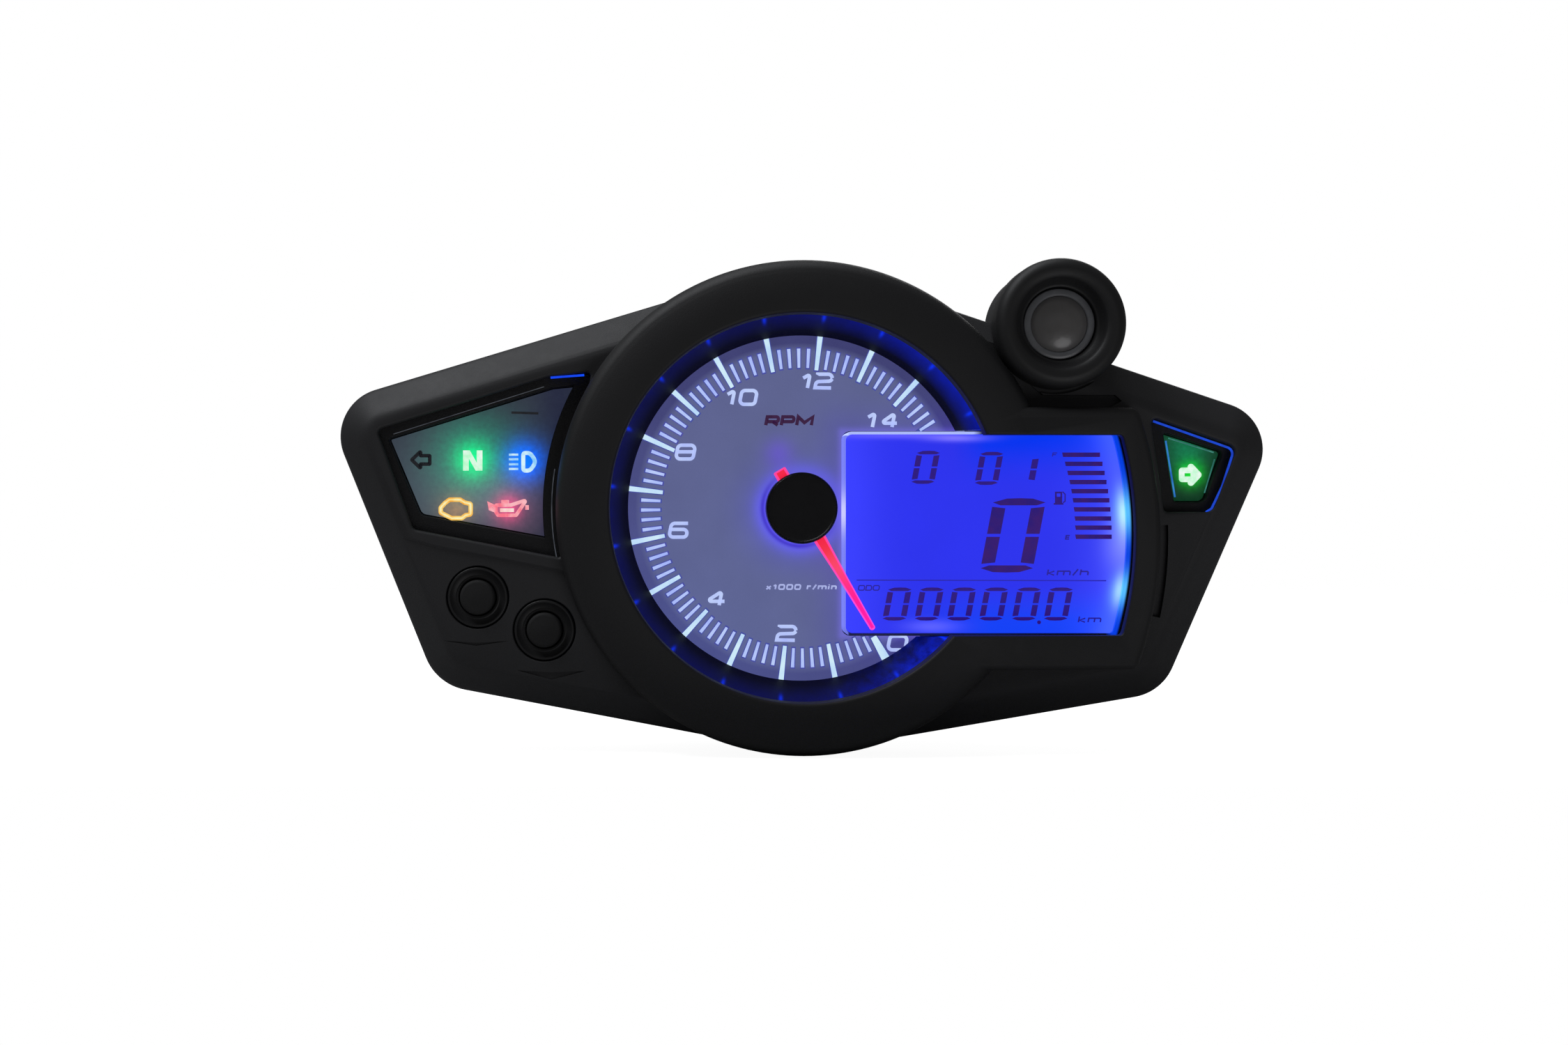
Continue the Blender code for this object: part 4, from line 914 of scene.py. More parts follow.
    lamp = Surface("smoked_lens", roughness=0.3, specular=0.4, coat=0.25, coat_roughness=0.12)
    away = lamp.centre_distance(*POD)
    fog = lamp.noise(5.0, 3.0)
    # paler towards the dome's rim: a painted reflection, over a cloudy tone of the smoked plastic
    pale = (fog * 0.9 + away.ramp(3.0, 7.5) * 0.4 - 0.1).clamp()
    lamp.set(colour=lamp.mix((0.080, 0.076, 0.074), (0.130, 0.127, 0.129), pale))
    made["lamp_lens"] = lamp.bump(lamp.cells(1.4), 0.02).material
    edge = Surface("lens_ring", roughness=0.3, specular=0.6)
    edge.set(colour=edge.mix((0.075, 0.078, 0.084), (0.15, 0.155, 0.17), edge.noise(3.0)))
    made["lens_ring"] = edge.bump(edge.noise(0.3), 0.01).material

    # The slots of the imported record, for the pieces carried over from the CAD model.
    made["steel"] = metal("plated_steel", (0.55, 0.56, 0.58), 0.3, (1.0, 6.0, 1.0))
    made["brass"] = metal("turned_brass", (0.72, 0.50, 0.20), 0.3, (1.0, 8.0, 1.0))
    made["copper"] = metal("copper_wire", (0.70, 0.26, 0.10), 0.35, (1.0, 1.0, 9.0))
    for slot, twin in (
        ("black_shell", "rear_plastic"),
        ("black_gloss", "cap"),
        ("black_rubber", "button_rubber"),
        ("chip", "black_epoxy"),
        ("clear_lens", "lens"),
        ("dial_print", "dial"),
        ("blue_light", "ring"),
        ("display_blue", "display"),
        ("panel_print", "sheet"),
        ("needle_red", "needle"),
    ):
        made[slot] = made[twin]
    board = Surface("circuit_board", specular=0.5)
    weave = board.noise(0.35, 2.0, 0.5, (1.0, 1.0, 0.2)) + board.noise(0.35, 2.0, 0.5, (0.2, 1.0, 1.0))
    traces = board.cells(2.4, "DISTANCE_TO_EDGE").ramp(0.06, 0.09)
    board.set(
        colour=board.mix((0.006, 0.060, 0.022), (0.012, 0.110, 0.042), (traces * 0.7 + weave * 0.2).clamp()),
        roughness=weave * 0.1 + 0.28,
    )
    made["circuit_board"] = board.bump(1.0 - traces, 0.03).material
    return made


MATERIALS = make_materials()


def piece(obj, material, replaces=(), body="casing"):
    """Gives a new piece its material, the CAD nodes that it stands for and its CAD body."""
    obj.data.materials.clear()
    obj.data.materials.append(MATERIALS[material])
    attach(obj, body)
    if replaces:
        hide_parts(*replaces)


# ---------------------------------------------------------------- cover
def wings_outline(inset):
    """The cover's outline moved inwards, and a hair inside the CAD one where inset is 0."""
    return rounded(offset_corners(WINGS, -inset - 0.005))


def face_height(x, z):
    """Height of the ring's conical face and of the surround, which falls away to the right."""
    radius = math.hypot(x, z)
    if radius < RING_FACE_R:
        inner = OPENING_R + 0.8
        return RING_TOP - (radius - inner) * (RING_TOP - RING_EDGE) / (RING_FACE_R - inner)
    return RING_EDGE - max(0.0, x - 50.0) * 0.062


def window_cutter(corners):
    return flared("window", lambda grow: rounded(offset_corners(corners, grow), 9), 0.7, PLATEAU)


def make_surround():
    right, bottom, top = SURROUND
    solid = prism("surround", dense(bowed_box(20.0, right, bottom, top, 2.4), 6.0), 33.0, 50.0)
    bm = bmesh.new()
    ends = []
    face = [(10.0, RING_EDGE), (50.0, RING_EDGE), (95.0, face_height(95.0, 0.0))]
    section = [*face, (95.0, 70.0), (10.0, 70.0)]
    for z in (-70.0, 60.0):
        ends.append([bm.verts.new((x, -h, z)) for x, h in section])
    for i in range(len(section)):
        j = (i + 1) % len(section)
        bm.faces.new((ends[0][i], ends[0][j], ends[1][j], ends[1][i]))
    bm.faces.new(ends[0])
    bm.faces.new(list(reversed(ends[1])))
    cut(solid, to_object("above_face", bm))
    return bevelled(solid, 1.5, 5, 50)


def make_cover():
    # How far in and how far down the wings' rounded rim is.
    rim = [(0.0, 6.2), (0.25, 5.5), (0.8, 4.9), (2.2, 3.75), (3.6, 2.6)]
    rim += [(5.0, 1.45), (5.9, 0.75), (6.7, 0.3), (7.6, 0.06), (8.4, 0.0)]
    sections = [(wings_outline(inset), PLATEAU - drop) for inset, drop in rim]
    cover = loft("cover_shell", [(wings_outline(0.0), SKIRT), *sections])
    neck_r = HOOD.radius - 0.5
    join(cover, rod("neck", neck_r, SKIRT, HOOD.low - 0.3, POD), make_surround())

    # The buttons lie in a slightly sunken field, below a step that runs from the left rim to the ring.
    field = [
        (-97.5, -6.0, 2.0),
        (-90.4, -23.5, 4.0),
        (-83.4, -37.0, 6.0),
        (-30.0, -47.4, 0),
        (-45.0, -17.4, 0),
        (-86.5, -9.3, 4.0),
    ]
    field_floor = PLATEAU - 0.55
    above = PLATEAU + 3.0
    levels = ((0, field_floor), (0.7, PLATEAU + 0.05), (0.7, above))
    cut(
        cover,
        rod("bore", OPENING_R, UNDER, OVER, segments=ROUND),
        window_cutter(LEFT_WINDOW),
        window_cutter(RIGHT_WINDOW),
        loft("field", [(rounded(offset_corners(field, grow), 15), h) for grow, h in levels]),
    )
    for collar in COLLARS.values():
        well_r = collar.radius + 0.3
        cut(cover, flared("well", lambda grow: circle(well_r + grow, 96, collar.middle), 0.35, field_floor))
    # A shallow crescent beside each button.
    for x0, x1, z0, z1 in ((-84.5, -69.1, -31.2, -32.4), (-67.1, -51.1, -38.2, -40.4)):
        middle = (x0 + x1) / 2
        crescent = [(x0, z0), (middle, z1), (x1, z0 - 0.1), (middle, z0 - 0.5)]
        cut(cover, prism("relief", crescent, field_floor - 0.4, above))

    shoulder = 41.2
    profile = [(RING_R, SKIRT), (RING_R, shoulder), *edge_round(RING_R, shoulder, 3.55, 4.5, 10, 82)]
    profile += [(RING_FACE_R, RING_EDGE), (OPENING_R + 0.9, RING_TOP), (OPENING_R + 0.35, RING_TOP - 0.12)]
    profile += [(OPENING_R + 0.08, RING_TOP - 0.4), (OPENING_R, RING_TOP - 0.9), (OPENING_R, SKIRT)]
    join(cover, lathe("ring", profile, segments=ROUND))

    right, bottom, top = DISPLAY_OPENING

    def opening(grow):
        return dense(bowed_box(30.0, right + grow, bottom - grow, top + grow, 1.2 + grow), 3.1)

    cut(
        cover,
        flared("display_opening", opening, 0.5, face_height),
        rod("pod_seat", HOOD.radius + 0.9, HOOD.low - 0.3, OVER, POD),
    )

    # The hollow inside.
    low = SKIRT - 5
    cut(
        cover,
        prism("wings_hollow", wings_outline(3.8), low, CEILING),
        rod("ring_hollow", RING_R - 3.8, low, CEILING, segments=ROUND),
        rod("lens_hollow", 51.0, low, RING_CEILING, segments=ROUND),
        prism("surround_hollow", dense(bowed_box(30.0, 80.8, -35.4, 21.2), 8.0), low, RING_CEILING),
        rod("pod_hollow", neck_r - 3.8, low, HOOD.low + 6, POD),
    )

    # The channel between the ring, the surround and the shift light, and the slot beside the surround.
    centre = (SURROUND[0] - BOW_R, (SURROUND[1] + SURROUND[2]) / 2)
    slot = [*arc(centre, BOW_R + 2.9, -12, 2, 1.5), *arc(centre, BOW_R + 0.15, 2, -12, 1.5)]
    floor = PLATEAU - 1.6
    channel = [*arc((0, 0), RING_R + 0.1, 27, 48, 2), (43.5, 44.5), (54.2, 28.6), (56.5, 26.6), (73.4, 26.6)]
    channel += [(75, 25.2), (72, 23.55), (53, 23.55)]
    cut(cover, prism("channel", channel, floor, PLATEAU + 9), prism("slot", slot, floor, PLATEAU + 9))
    for at in SCREWS:
        join(cover, rod("boss", 3.0, SKIRT + 0.4, CEILING + 0.6, at, 32))
        cut(cover, rod("pilot", 1.75, SKIRT - 1, SKIRT + 8, at, 32))
    piece(cover, "shell_plastic", ["front_cover"])


def make_rear():
    inset = 0.8
    back = REAR.low + 14.0
    step = 22.0  # the walls are upright above this
    drum_r = RING_R - inset
    sections = []
    for i in range(6):
        angle = math.pi / 2 * i / 5
        inwards = inset + 3.8 + 1.4 * (1 - math.sin(angle))
        sections.append((wings_outline(inwards), back + 1.4 * (1 - math.cos(angle))))
    sections += [(wings_outline(inset), step), (wings_outline(inset), REAR.high)]
    rear = loft("rear_shell", sections)
    profile = [(0, 0), (46.8, 0), (47.6, 0.25), (48.2, 0.9), (52.0, 14.2), (53.2, 15.2), (drum_r, step)]
    profile += [(drum_r, REAR.high), (0, REAR.high)]
    pod_r = HOOD.radius - 0.5 - inset
    pod = [(0, 16), (pod_r - 3.2, 16), (pod_r - 2.3, 16.4), (pod_r, 18.5)]
    pod += [(pod_r, REAR.high), (0, REAR.high)]
    join(rear, lathe("drum", profile, segments=ROUND), lathe("pod_back", pod, POD))
    wall = 5.0
    inside = wings_outline(inset + wall)
    hollow = [(0, 2.2), (45.8, 2.2), (49.8, 15.0), (drum_r - wall, step), (drum_r - wall, 30), (0, 30)]
    cut(
        rear,
        loft("wings_hollow", [(wings_outline(inset + 6.0), back + 2.2), (inside, step), (inside, 30)]),
        lathe("drum_hollow", hollow, segments=ROUND),
        rod("pod_hollow", pod_r - 4.2, 18.2, 30, POD),
        lathe("rear_groove", [(40.6, -1), (40.6, 0.5), (41.4, 0.5), (41.4, -1)], segments=ROUND),
    )
    for at in INSERTS:
        join(rear, rod("boss", 7.0, 1.0, 11.7, at, 64))
        cut(rear, rod("seat", 4.3, -1, 9.3, at, 64))
    plug = Span("connector_shell")
    socket = box_outline(plug.left - 0.3, plug.right + 0.3, plug.bottom - 0.3, plug.top + 0.3)
    cut(rear, prism("connector_slot", socket, -1, 5))
    cut(rear, rod("vent_hole", 3.2, -1, 5, Span("vent_plug").middle, 48))
    for at in SCREWS:
        join(rear, rod("boss", 4.3, back + 1.2, REAR.high - 0.4, at, 48))
        cut(rear, rod("hole", 1.8, back - 1, REAR.high + 1, at, 32))
        cut(rear, rod("counterbore", 3.0, back - 4, back + 2.6, at, 48))
    piece(rear, "rear_plastic", ["rear_housing"])


def make_header():
    """The header's black base, and its pins with their tapered tips."""
    pins = Span("connector_pins")
    floor = pins.high - HEADER_BASE
    outline = box_outline(pins.left, pins.right, pins.bottom, pins.top)
    base = prism("header_base", outline, floor, pins.high)
    piece(base, "rear_plastic", ["connector_pins"])
    bm = bmesh.new()
    for column in range(10):
        for row in (-0.7, 0.7):
            at = (pins.middle[0] + (column - 4.5) * PIN_PITCH, pins.middle[1] + row * PIN_PITCH)
            tip, shank = circle(0.2, 4, at), circle(0.5, 4, at)
            add_loft(bm, [(tip, pins.low), (shank, pins.low + 0.6), (shank, floor - 0.01)])
    piece(to_object("header_pins", bm), "brass")


# ---------------------------------------------------------------- glazing, dial and light ring
def make_lens():
    low, high = LENS.low, LENS.high
    lens = rod("cover_lens", 48.0, low, high, segments=ROUND)
    join(lens, prism("display_part", dense(bowed_box(25.0, 79.0, -32.1, 18.5), 8.0), low, high))
    piece(lens, "lens", ["main_lens"])


def notch(grow):
    """A cutter for the place of the display's frame, grow wider than the frame."""
    outline = bowed_box(FRAME_LEFT - grow, 95.0, HOLDER.bottom - grow, HOLDER.top + grow, 1.0, 2.0 + grow)
    return prism("notch", outline, 5, OVER)


def behind_display(point):
    """Whether the display's frame, or a gap of 0.4 round it, covers the point."""
    return point[0] > FRAME_LEFT - 0.4 and HOLDER.bottom - 0.4 < point[1] < HOLDER.top + 0.4


def make_marks():
    """The scale's marks, and a faint glow round each. A mark starts where the display's frame ends."""
    major, minor, halo = bmesh.new(), bmesh.new(), bmesh.new()
    low, high = DIAL_TOP + 0.04, DIAL_TOP + 0.14
    for thousand in range(15):
        for fifth in range(5):
            angle = ZERO - STEP * (thousand + fifth / 5)
            first, last = MINOR_R if fifth else MARK_R
            wide = 0.80 if fifth else (1.25 if thousand else 2.0)
            narrow = wide * (0.8 if fifth else 0.72)
            start = polar(first, angle)
            if behind_display(start):
                along = [polar(r / 10, angle) for r in range(int(first * 10), int(last * 10))]
                along = [point for point in along if not behind_display(point)]
                if not along:
                    continue
                start = along[0]
            mark = [start, polar(last, angle)]
            ribbon(minor if fifth else major, mark, [narrow, wide], low, high)
            glow = [polar(first - 0.35, angle), polar(last + 0.3, angle)]
            ribbon(halo, glow, [narrow + 0.4, wide + 0.45], DIAL_TOP + 0.005, DIAL_TOP + 0.03)
    piece(to_object("scale_marks_major", major), "mark")
    piece(to_object("scale_marks_minor", minor), "minor")
    piece(to_object("scale_marks_glow", halo), "halo")


def make_scale():
    dial = rod("scale_plate", DIAL.radius, DIAL.low, DIAL.high, segments=ROUND)
    cut(dial, rod("hole", 2.4, 20, 40), notch(0.25))
    piece(dial, "dial", ["dial_plate"])

    facets, per_facet = 20, 9
    half_turn = 180.0 / facets
    foot, rim, outer = [], [], []
    for i in range(facets * per_facet):
        step = STEP / per_facet
        angle = ZERO + i * step
        off_middle = (i % per_facet) * step - half_turn
        radius = 46.4 * math.cos(math.radians(half_turn)) / math.cos(math.radians(off_middle))
        foot.append(polar(41.3, angle))
        rim.append(polar(radius, angle))
        outer.append(polar(47.2, angle))
    low, high = LIGHT_RING.low, LIGHT_RING.high
    ring = prism("scale_light_ring", outer, low, high)
    cut(ring, loft("funnel", [(foot, low - 0.01), (rim, high + 0.01)]), notch(0.3))
    piece(ring, "ring", ["dial_light_ring"])

    make_marks()
    low, high = DIAL_TOP + 0.04, DIAL_TOP + 0.14
    numbers = bmesh.new()
    for text, x, z, width in (
        ("0", 23.2, -32.3, 4.0),
        ("2", -3.35, -30.0, 4.0),
        ("4", -20.25, -21.6, 4.2),
        ("6", -29.15, -5.3, 4.0),
        ("8", -27.55, 13.4, 4.0),
        ("10", -14.15, 26.5, 6.8),
        ("12", 3.95, 30.4, 6.8),
        ("14", 19.6, 21.05, 7.0),
    ):
        lettering(numbers, text, (x, z), 3.3, width + 0.15, 0.84, DIAL_TOP + 0.16, DIAL_TOP + 0.26)
    piece(to_object("scale_numbers", numbers), "number")
    word = bmesh.new()
    lettering(word, "RPM", (-2.7, 20.85), 2.0, 10.9, 0.8, low, high)
    piece(to_object("scale_word", word), "word")
    unit = bmesh.new()
    lettering(unit, "x1000 r/min", (0.2, -18.9), 1.05, 16.6, 0.38, low, high, spacing=0.55)
    piece(to_object("scale_unit", unit), "small_print")


# ---------------------------------------------------------------- display
def make_display():
    left = FRAME_LEFT
    frame_outline = bowed_box(left, HOLDER.right, HOLDER.bottom, HOLDER.top, 1.0, 2.0)
    holder = prism("display_frame", frame_outline, HOLDER.low, HOLDER.high)
    rim = 0.55
    right = GLASS_RIGHT
    pocket = bowed_box(left + rim, right + 0.25, HOLDER.bottom + rim, HOLDER.top - rim, 1.0, 1.6)
    cut(holder, prism("pocket", pocket, HOLDER.low + 1.2, OVER))
    piece(holder, "rim", ["lcd_holder"])
    fitted = bowed_box(left + rim + 0.1, right, HOLDER.bottom + rim + 0.1, HOLDER.top - rim - 0.1, 1.0, 1.5)
    glass = prism("display_glass", fitted, GLASS.low, GLASS.high)
    piece(glass, "display", ["lcd_glass"])

    low, high = GLASS.high + 0.01, GLASS.high + 0.07
    segments, thin, fine, line = bmesh.new(), bmesh.new(), bmesh.new(), bmesh.new()
    for digit, x, z in (("0", 29.3, 9.7), ("0", 44.4, 9.45)):
        seven_segment(thin, digit, (x + 0.3, z), 5.5, 7.9, 1.35, 0.85, low, high)
    seven_segment(thin, "1", (53.3, 9.2), 5.5, 7.2, 1.5, 0.85, low, high)
    seven_segment(segments, "0", (50.4, -6.5), 12.5, 17.7, 3.2, 1.7, low, high)
    for x in (22.8, 30.45, 38.15, 45.8, 53.6, 61.2):
        seven_segment(thin, "0", (x, -22.85), 5.6, 7.9, 1.35, 0.85, low, high)
    slab(thin, circle(0.45, 24, (56.6, -27.2)), low, high)
    for i in range(10):
        z = 12.7 - 2.17 * i
        bend = 3.1 * ((9 - i) / 9) ** 2
        start, end, half = 65.4 - bend, 73.9 - bend * 0.9, 0.53
        bar = [(start, z - half), (end, z - half), (end, z + half), (start - 0.2, z + half)]
        slab(segments, bar, low, high)
    for text, centre, height, width, stroke in (
        ("km/h", (63.5, -15.3), 1.35, 9.6, 0.36),
        ("km", (68.7, -26.5), 1.35, 5.2, 0.34),
        ("ODO", (16.1, -19.0), 1.1, 4.9, 0.26),
        ("F", (60.3, 12.7), 0.85, 0.9, 0.22),
        ("E", (63.4, -6.95), 0.85, 0.8, 0.3),
    ):
        lettering(fine, text, centre, height, width, stroke, low, high)
    ribbon(line, [(13.2, -17.15), (72.6, -17.3)], 0.28, low, high)
    # A fuel pump.
    slab(thin, box_outline(60.4, 62.1, 1.2, 2.7), low, high)
    ribbon(thin, [(60.6, 2.6), (60.6, 3.7), (61.9, 3.7), (61.9, 2.6)], 0.4, low, high)
    ribbon(thin, [(60.1, 1.0), (62.4, 1.0)], 0.4, low, high)
    ribbon(thin, [(62.3, 1.3), (62.8, 1.6), (62.8, 3.3), (62.2, 3.9)], 0.26, low, high)
    piece(to_object("display_bars", segments), "segment")
    piece(to_object("display_digits", thin), "thin_segment")
    piece(to_object("display_units", fine), "fine_print")
    piece(to_object("display_divider", line), "divider")


# ---------------------------------------------------------------- tell-tales
def make_panel(side, panel, window, lamps):
    """A window's box, with a cell for each lamp and a mouth for the panel, and the printed sheet in it."""
    sheet_name = "indicator_sheet_" + side
    low, high = Span(sheet_name).low, Span(sheet_name).high
    box_span = Span("light_box_" + side)
    box = prism("lamp_box_" + side, rounded(offset_corners(window, 0.9), 9), box_span.low, box_span.high)
    sheet = prism("telltale_sheet_" + side, rounded(offset_corners(panel, -0.3), 9), low, high)
    mouth = flared("mouth", lambda grow: rounded(offset_corners(panel, grow), 9), 0.4, box_span.high, 32.0)
    if side == "left":
        cut(box, rod("clear_of_light_ring", RING_R - 1.9, UNDER, OVER, segments=ROUND))
        cut(box, rod("clear_of_boss", 3.3, UNDER, OVER, SCREWS[0], 48))
        cut(mouth, rod("clear_of_ring", PANEL_ARC_R, UNDER, 70, segments=ROUND))
        cut(sheet, rod("clear_of_ring", PANEL_ARC_R + 0.3, UNDER, 70, segments=ROUND))
    cut(box, mouth)
    for at in lamps:
        cut(box, rod("cell", 4.6, 20, 33, at, 48))
    piece(box, "lamp_box_plastic", ["light_box_" + side])
    piece(sheet, "sheet", [sheet_name])


def icon(name, material, strokes, centre, width, lift=0.0):
    """Lines printed on the tell-tale sheet: strokes is [(points, closed), ...], drawn round centre."""
    bm = bmesh.new()
    low = SHEET.high + 0.02 + lift
    for points, closed in strokes:
        moved = [(centre[0] + x, centre[1] + z, *(radius or [0.0])) for x, z, *radius in points]
        ribbon(bm, rounded(moved, 15, closed), width, low, low + 0.1, closed)
    piece(to_object(name, bm), material)


def emblem(name, material, outline, centre):
    """A filled shape printed on the tell-tale sheet."""
    bm = bmesh.new()
    slab(bm, [(centre[0] + x, centre[1] + z) for x, z in outline], SHEET.high + 0.02, SHEET.high + 0.12)
    piece(to_object(name, bm), material)


def block_arrow(sign, size, rise=1.0):
    """A block arrow that points along sign."""
    points = [(2.3, 0), (0.1, 2.1), (0.1, 1.05), (-2.2, 1.05), (-2.2, -1.05), (0.1, -1.05), (0.1, -2.1)]
    return [([(sign * x * size, z * size * rise, 0.12) for x, z in points], True)]


def make_telltales():
    make_panel("left", LEFT_PANEL, LEFT_WINDOW, LEFT_LAMPS)
    make_panel("right", RIGHT_PANEL, RIGHT_WINDOW, RIGHT_LAMPS)
    icon("icon_turn_left", "unlit", block_arrow(-1, 0.95), (-90.4, 11.45), 0.85)
    icon("icon_turn_right_core", "lit_green", [([(0.1, 0), (1.2, 0)], False)], (92.3, 7.9), 1.3)
    icon("icon_turn_right", "lit_green", block_arrow(1, 0.9, 1.12), (92.3, 7.9), 1.35)
    letter = [(-2.3, -2.4), (-2.3, 2.4), (-0.7, 2.4), (0.95, -0.5), (0.95, 2.4)]
    letter += [(2.3, 2.4), (2.3, -2.4), (0.7, -2.4), (-0.95, 0.5), (-0.95, -2.4)]
    emblem("icon_neutral", "lit_green", letter[::-1], (-78.1, 11.3))
    lamp = [(-1.0, -2.1, 0.5), (0.6, -2.1, 1.3), (2.1, 0.0, 1.6), (0.6, 2.1, 1.3), (-1.0, 2.1, 0.5)]
    icon("icon_beam", "lit_blue", [(lamp, True)], (-65.1, 11.0), 0.95)
    rays = [([(-4.4, z), (-2.2, z)], False) for z in (1.7, 0.6, -0.6, -1.7)]
    icon("icon_beam_rays", "lit_blue", rays, (-65.1, 11.0), 0.5)
    engine = [(-3.6, 0.3), (-2.6, 1.4), (-1.5, 2.2), (1.0, 2.2), (2.1, 1.5), (3.5, 1.2)]
    engine += [(3.5, -1.3), (2.3, -1.5), (1.4, -2.2), (-1.0, -2.2), (-2.6, -1.4), (-3.6, -0.9)]
    engine = [([(x, z, 0.35) for x, z in engine], True)]
    icon("icon_engine", "lit_amber", engine, (-82.1, -0.2), 1.05)
    icon("icon_engine_core", "lit_gold", engine, (-82.1, -0.2), 0.4, 0.1)
    can = [(-2.9, 0.7), (-0.9, 0.7), (0.6, 0.7), (4.3, 1.9), (1.9, -1.7), (-2.4, -1.7), (-2.9, -0.9)]
    icon(
        "icon_oil",
        "lit_red",
        [
            ([(x, z, 0.2) for x, z in can], True),
            ([(-2.9, 0.2), (-4.4, 0.9), (-4.2, -0.2), (-2.9, -0.7)], False),
            ([(-1.6, 1.5), (0.2, 1.5)], False),
            ([(-0.7, 0.7), (-0.7, 1.5)], False),
            ([(4.5, 0.7), (4.5, -0.4)], False),
        ],
        (-69.7, 0.0),
        0.85,
    )
    icon("icon_oil_core", "lit_white", [([(-1.9, -0.5), (1.4, -0.5)], False)], (-69.7, 0.0), 0.9)
    icon("panel_dash", "unlit", [([(-3.2, 0.1), (3.2, -0.1)], False)], (-65.7, 22.6), 0.55)

    # Painted highlights and painted reflections: thin glowing lines along the edges of the panes, the boxes
    # and the sheets, where these edges catch light.
    left = [(-59.3, 30.7, 0), (-55.5, 31.0, 0), (-51.4, 31.3, 0)]
    right = [(82.5, 20.45, 0), (101.5, 13.75, 1.6), (98.8, 5.25, 6.0), (96.2, -0.15, 0.8), (94.9, -0.95, 0)]
    side = [([(86.5, 16.0), (88.7, 2.6)], 0.4)]
    across, down = ([(87.1, 16.6), (97.9, 13.2)], 0.3), ([(98.1, 11.6), (95.7, 3.6)], 0.3)
    # round_ring is a painted reflection on the pane's rim beside the ring, and along_top is a painted
    # reflection along the panel's top edge.
    round_ring, along_top = (arc((0, 0), 59.2, 171, 193, 2), 0.25), ([(-96.6, 17.5), (-61.0, 28.7)], 0.2)
    pane, sheet, box = PANE.high, SHEET.high, LAMP_BOX.high
    for name, material, slot, lines, low, thick in (
        ("pane_edge_left", "edge_blue", "clear_lens", [(rounded(left, 12, False), 0.5)], pane, 0.3),
        ("pane_edge_right", "edge_deep", "clear_lens", [(rounded(right, 12, False), 0.5)], pane, 0.3),
        ("panel_edge_right_side", "edge_teal", "panel_print", side, sheet, 0.12),
        ("panel_edge_right", "edge_pale", "panel_print", [across, down], sheet, 0.12),
        ("panel_edge_left", "edge_grey", "panel_print", [round_ring, along_top], box, 0.12),
    ):
        bm = bmesh.new()
        for points, width in lines:
            ribbon(bm, points, width, low + 0.02, low + thick)
        piece(to_object(name, bm), material)


# ---------------------------------------------------------------- pointer
def turned(points, degrees):
    c, s = math.cos(math.radians(degrees)), math.sin(math.radians(degrees))
    return [(x * c - z * s, x * s + z * c) for x, z in points]


def make_pointer():
    span = Span("needle_blade")
    cap_span = Span("needle_cap")
    low, high = span.high - 1.3, span.high
    half_blade = [(-10.5, 1.6), (6.0, 1.6), (9.0, 1.5), (20.0, 1.0), (33.1, 0.66), (33.5, 0.42)]
    blade = [(along, -half) for along, half in half_blade] + half_blade[::-1]
    body = bevelled(prism("pointer_blade", turned(blade, AIM), low, high - 0.15), 0.35, 3)
    join(body, rod("hub", 4.6, span.low, high - 0.2))
    cut(body, rod("bore", 0.95, 20, high + 2))
    piece(body, "needle_edge", ["needle_blade"], "needle")
    core = bmesh.new()
    slab(core, turned([(-10.1, -1.0), (8.2, -0.95), (8.2, 0.95), (-10.1, 1.0)], AIM), high - 0.14, high)
    slab(core, turned([(8.25, -0.95), (33.0, -0.34), (33.0, 0.34), (8.25, 0.95)], AIM), high - 0.14, high)
    piece(to_object("pointer_ridge", core), "needle", body="needle")

    r, top = cap_span.radius, cap_span.high
    inside = r - 1.2
    profile = [(0, high + 0.3), (inside, high + 0.3), (inside, cap_span.low), (r, cap_span.low)]
    profile += [(r, top - 0.9), *edge_round(r, top - 0.9, 0.9, 0.9, 6)]
    profile += [(r - 2.2, top - 0.05), (0, top - 0.1)]
    cap = lathe("pointer_cap", profile, segments=128)
    half_slot = 1.8 + 0.35  # half the blade's width, and its play
    slot = turned(box_outline(-12, 12, -half_slot, half_slot), ZERO)
    cut(cap, prism("slot", slot, 29, high + 0.29))
    piece(cap, "cap", ["needle_cap"], "needle")


# ---------------------------------------------------------------- buttons and shift light
def make_buttons():
    for side in ("left", "right"):
        collar, button = COLLARS[side], BUTTONS[side]
        r, top = collar.radius, collar.high - 0.35
        inner = 4.45
        profile = [(inner, collar.low), (r, collar.low), (r, top - 0.5)]
        profile += edge_round(r, top - 0.5, 0.42, 0.42, 5, 111.6)
        profile += [(r - 1.2, top - 0.75), (r - 1.9, top - 0.95), (inner + 0.5, top - 0.85)]
        profile += [(inner + 0.1, top - 0.95), (inner, top - 1.1)]
        dish = lathe("button_dish_" + side, profile, collar.middle)
        piece(dish, "dish_plastic", ["button_collar_" + side])
        cap_r, foot, crown = 4.1, button.low, button.high
        profile = [(0, foot), (3.0, foot), (3.0, foot + 0.5), (5.4, foot + 0.5), (5.4, foot + 1.7)]
        profile += [(cap_r, foot + 1.7), (cap_r, crown - 1.1), *edge_round(cap_r, crown - 1.1, 0.8, 0.8, 6)]
        profile += [(cap_r - 1.6, crown - 0.22), (1.2, crown - 0.03), (0, crown)]
        cap = lathe("button_cap_" + side, profile, button.middle)
        piece(cap, "button_rubber", ["button_" + side], f"button_{side}_body")


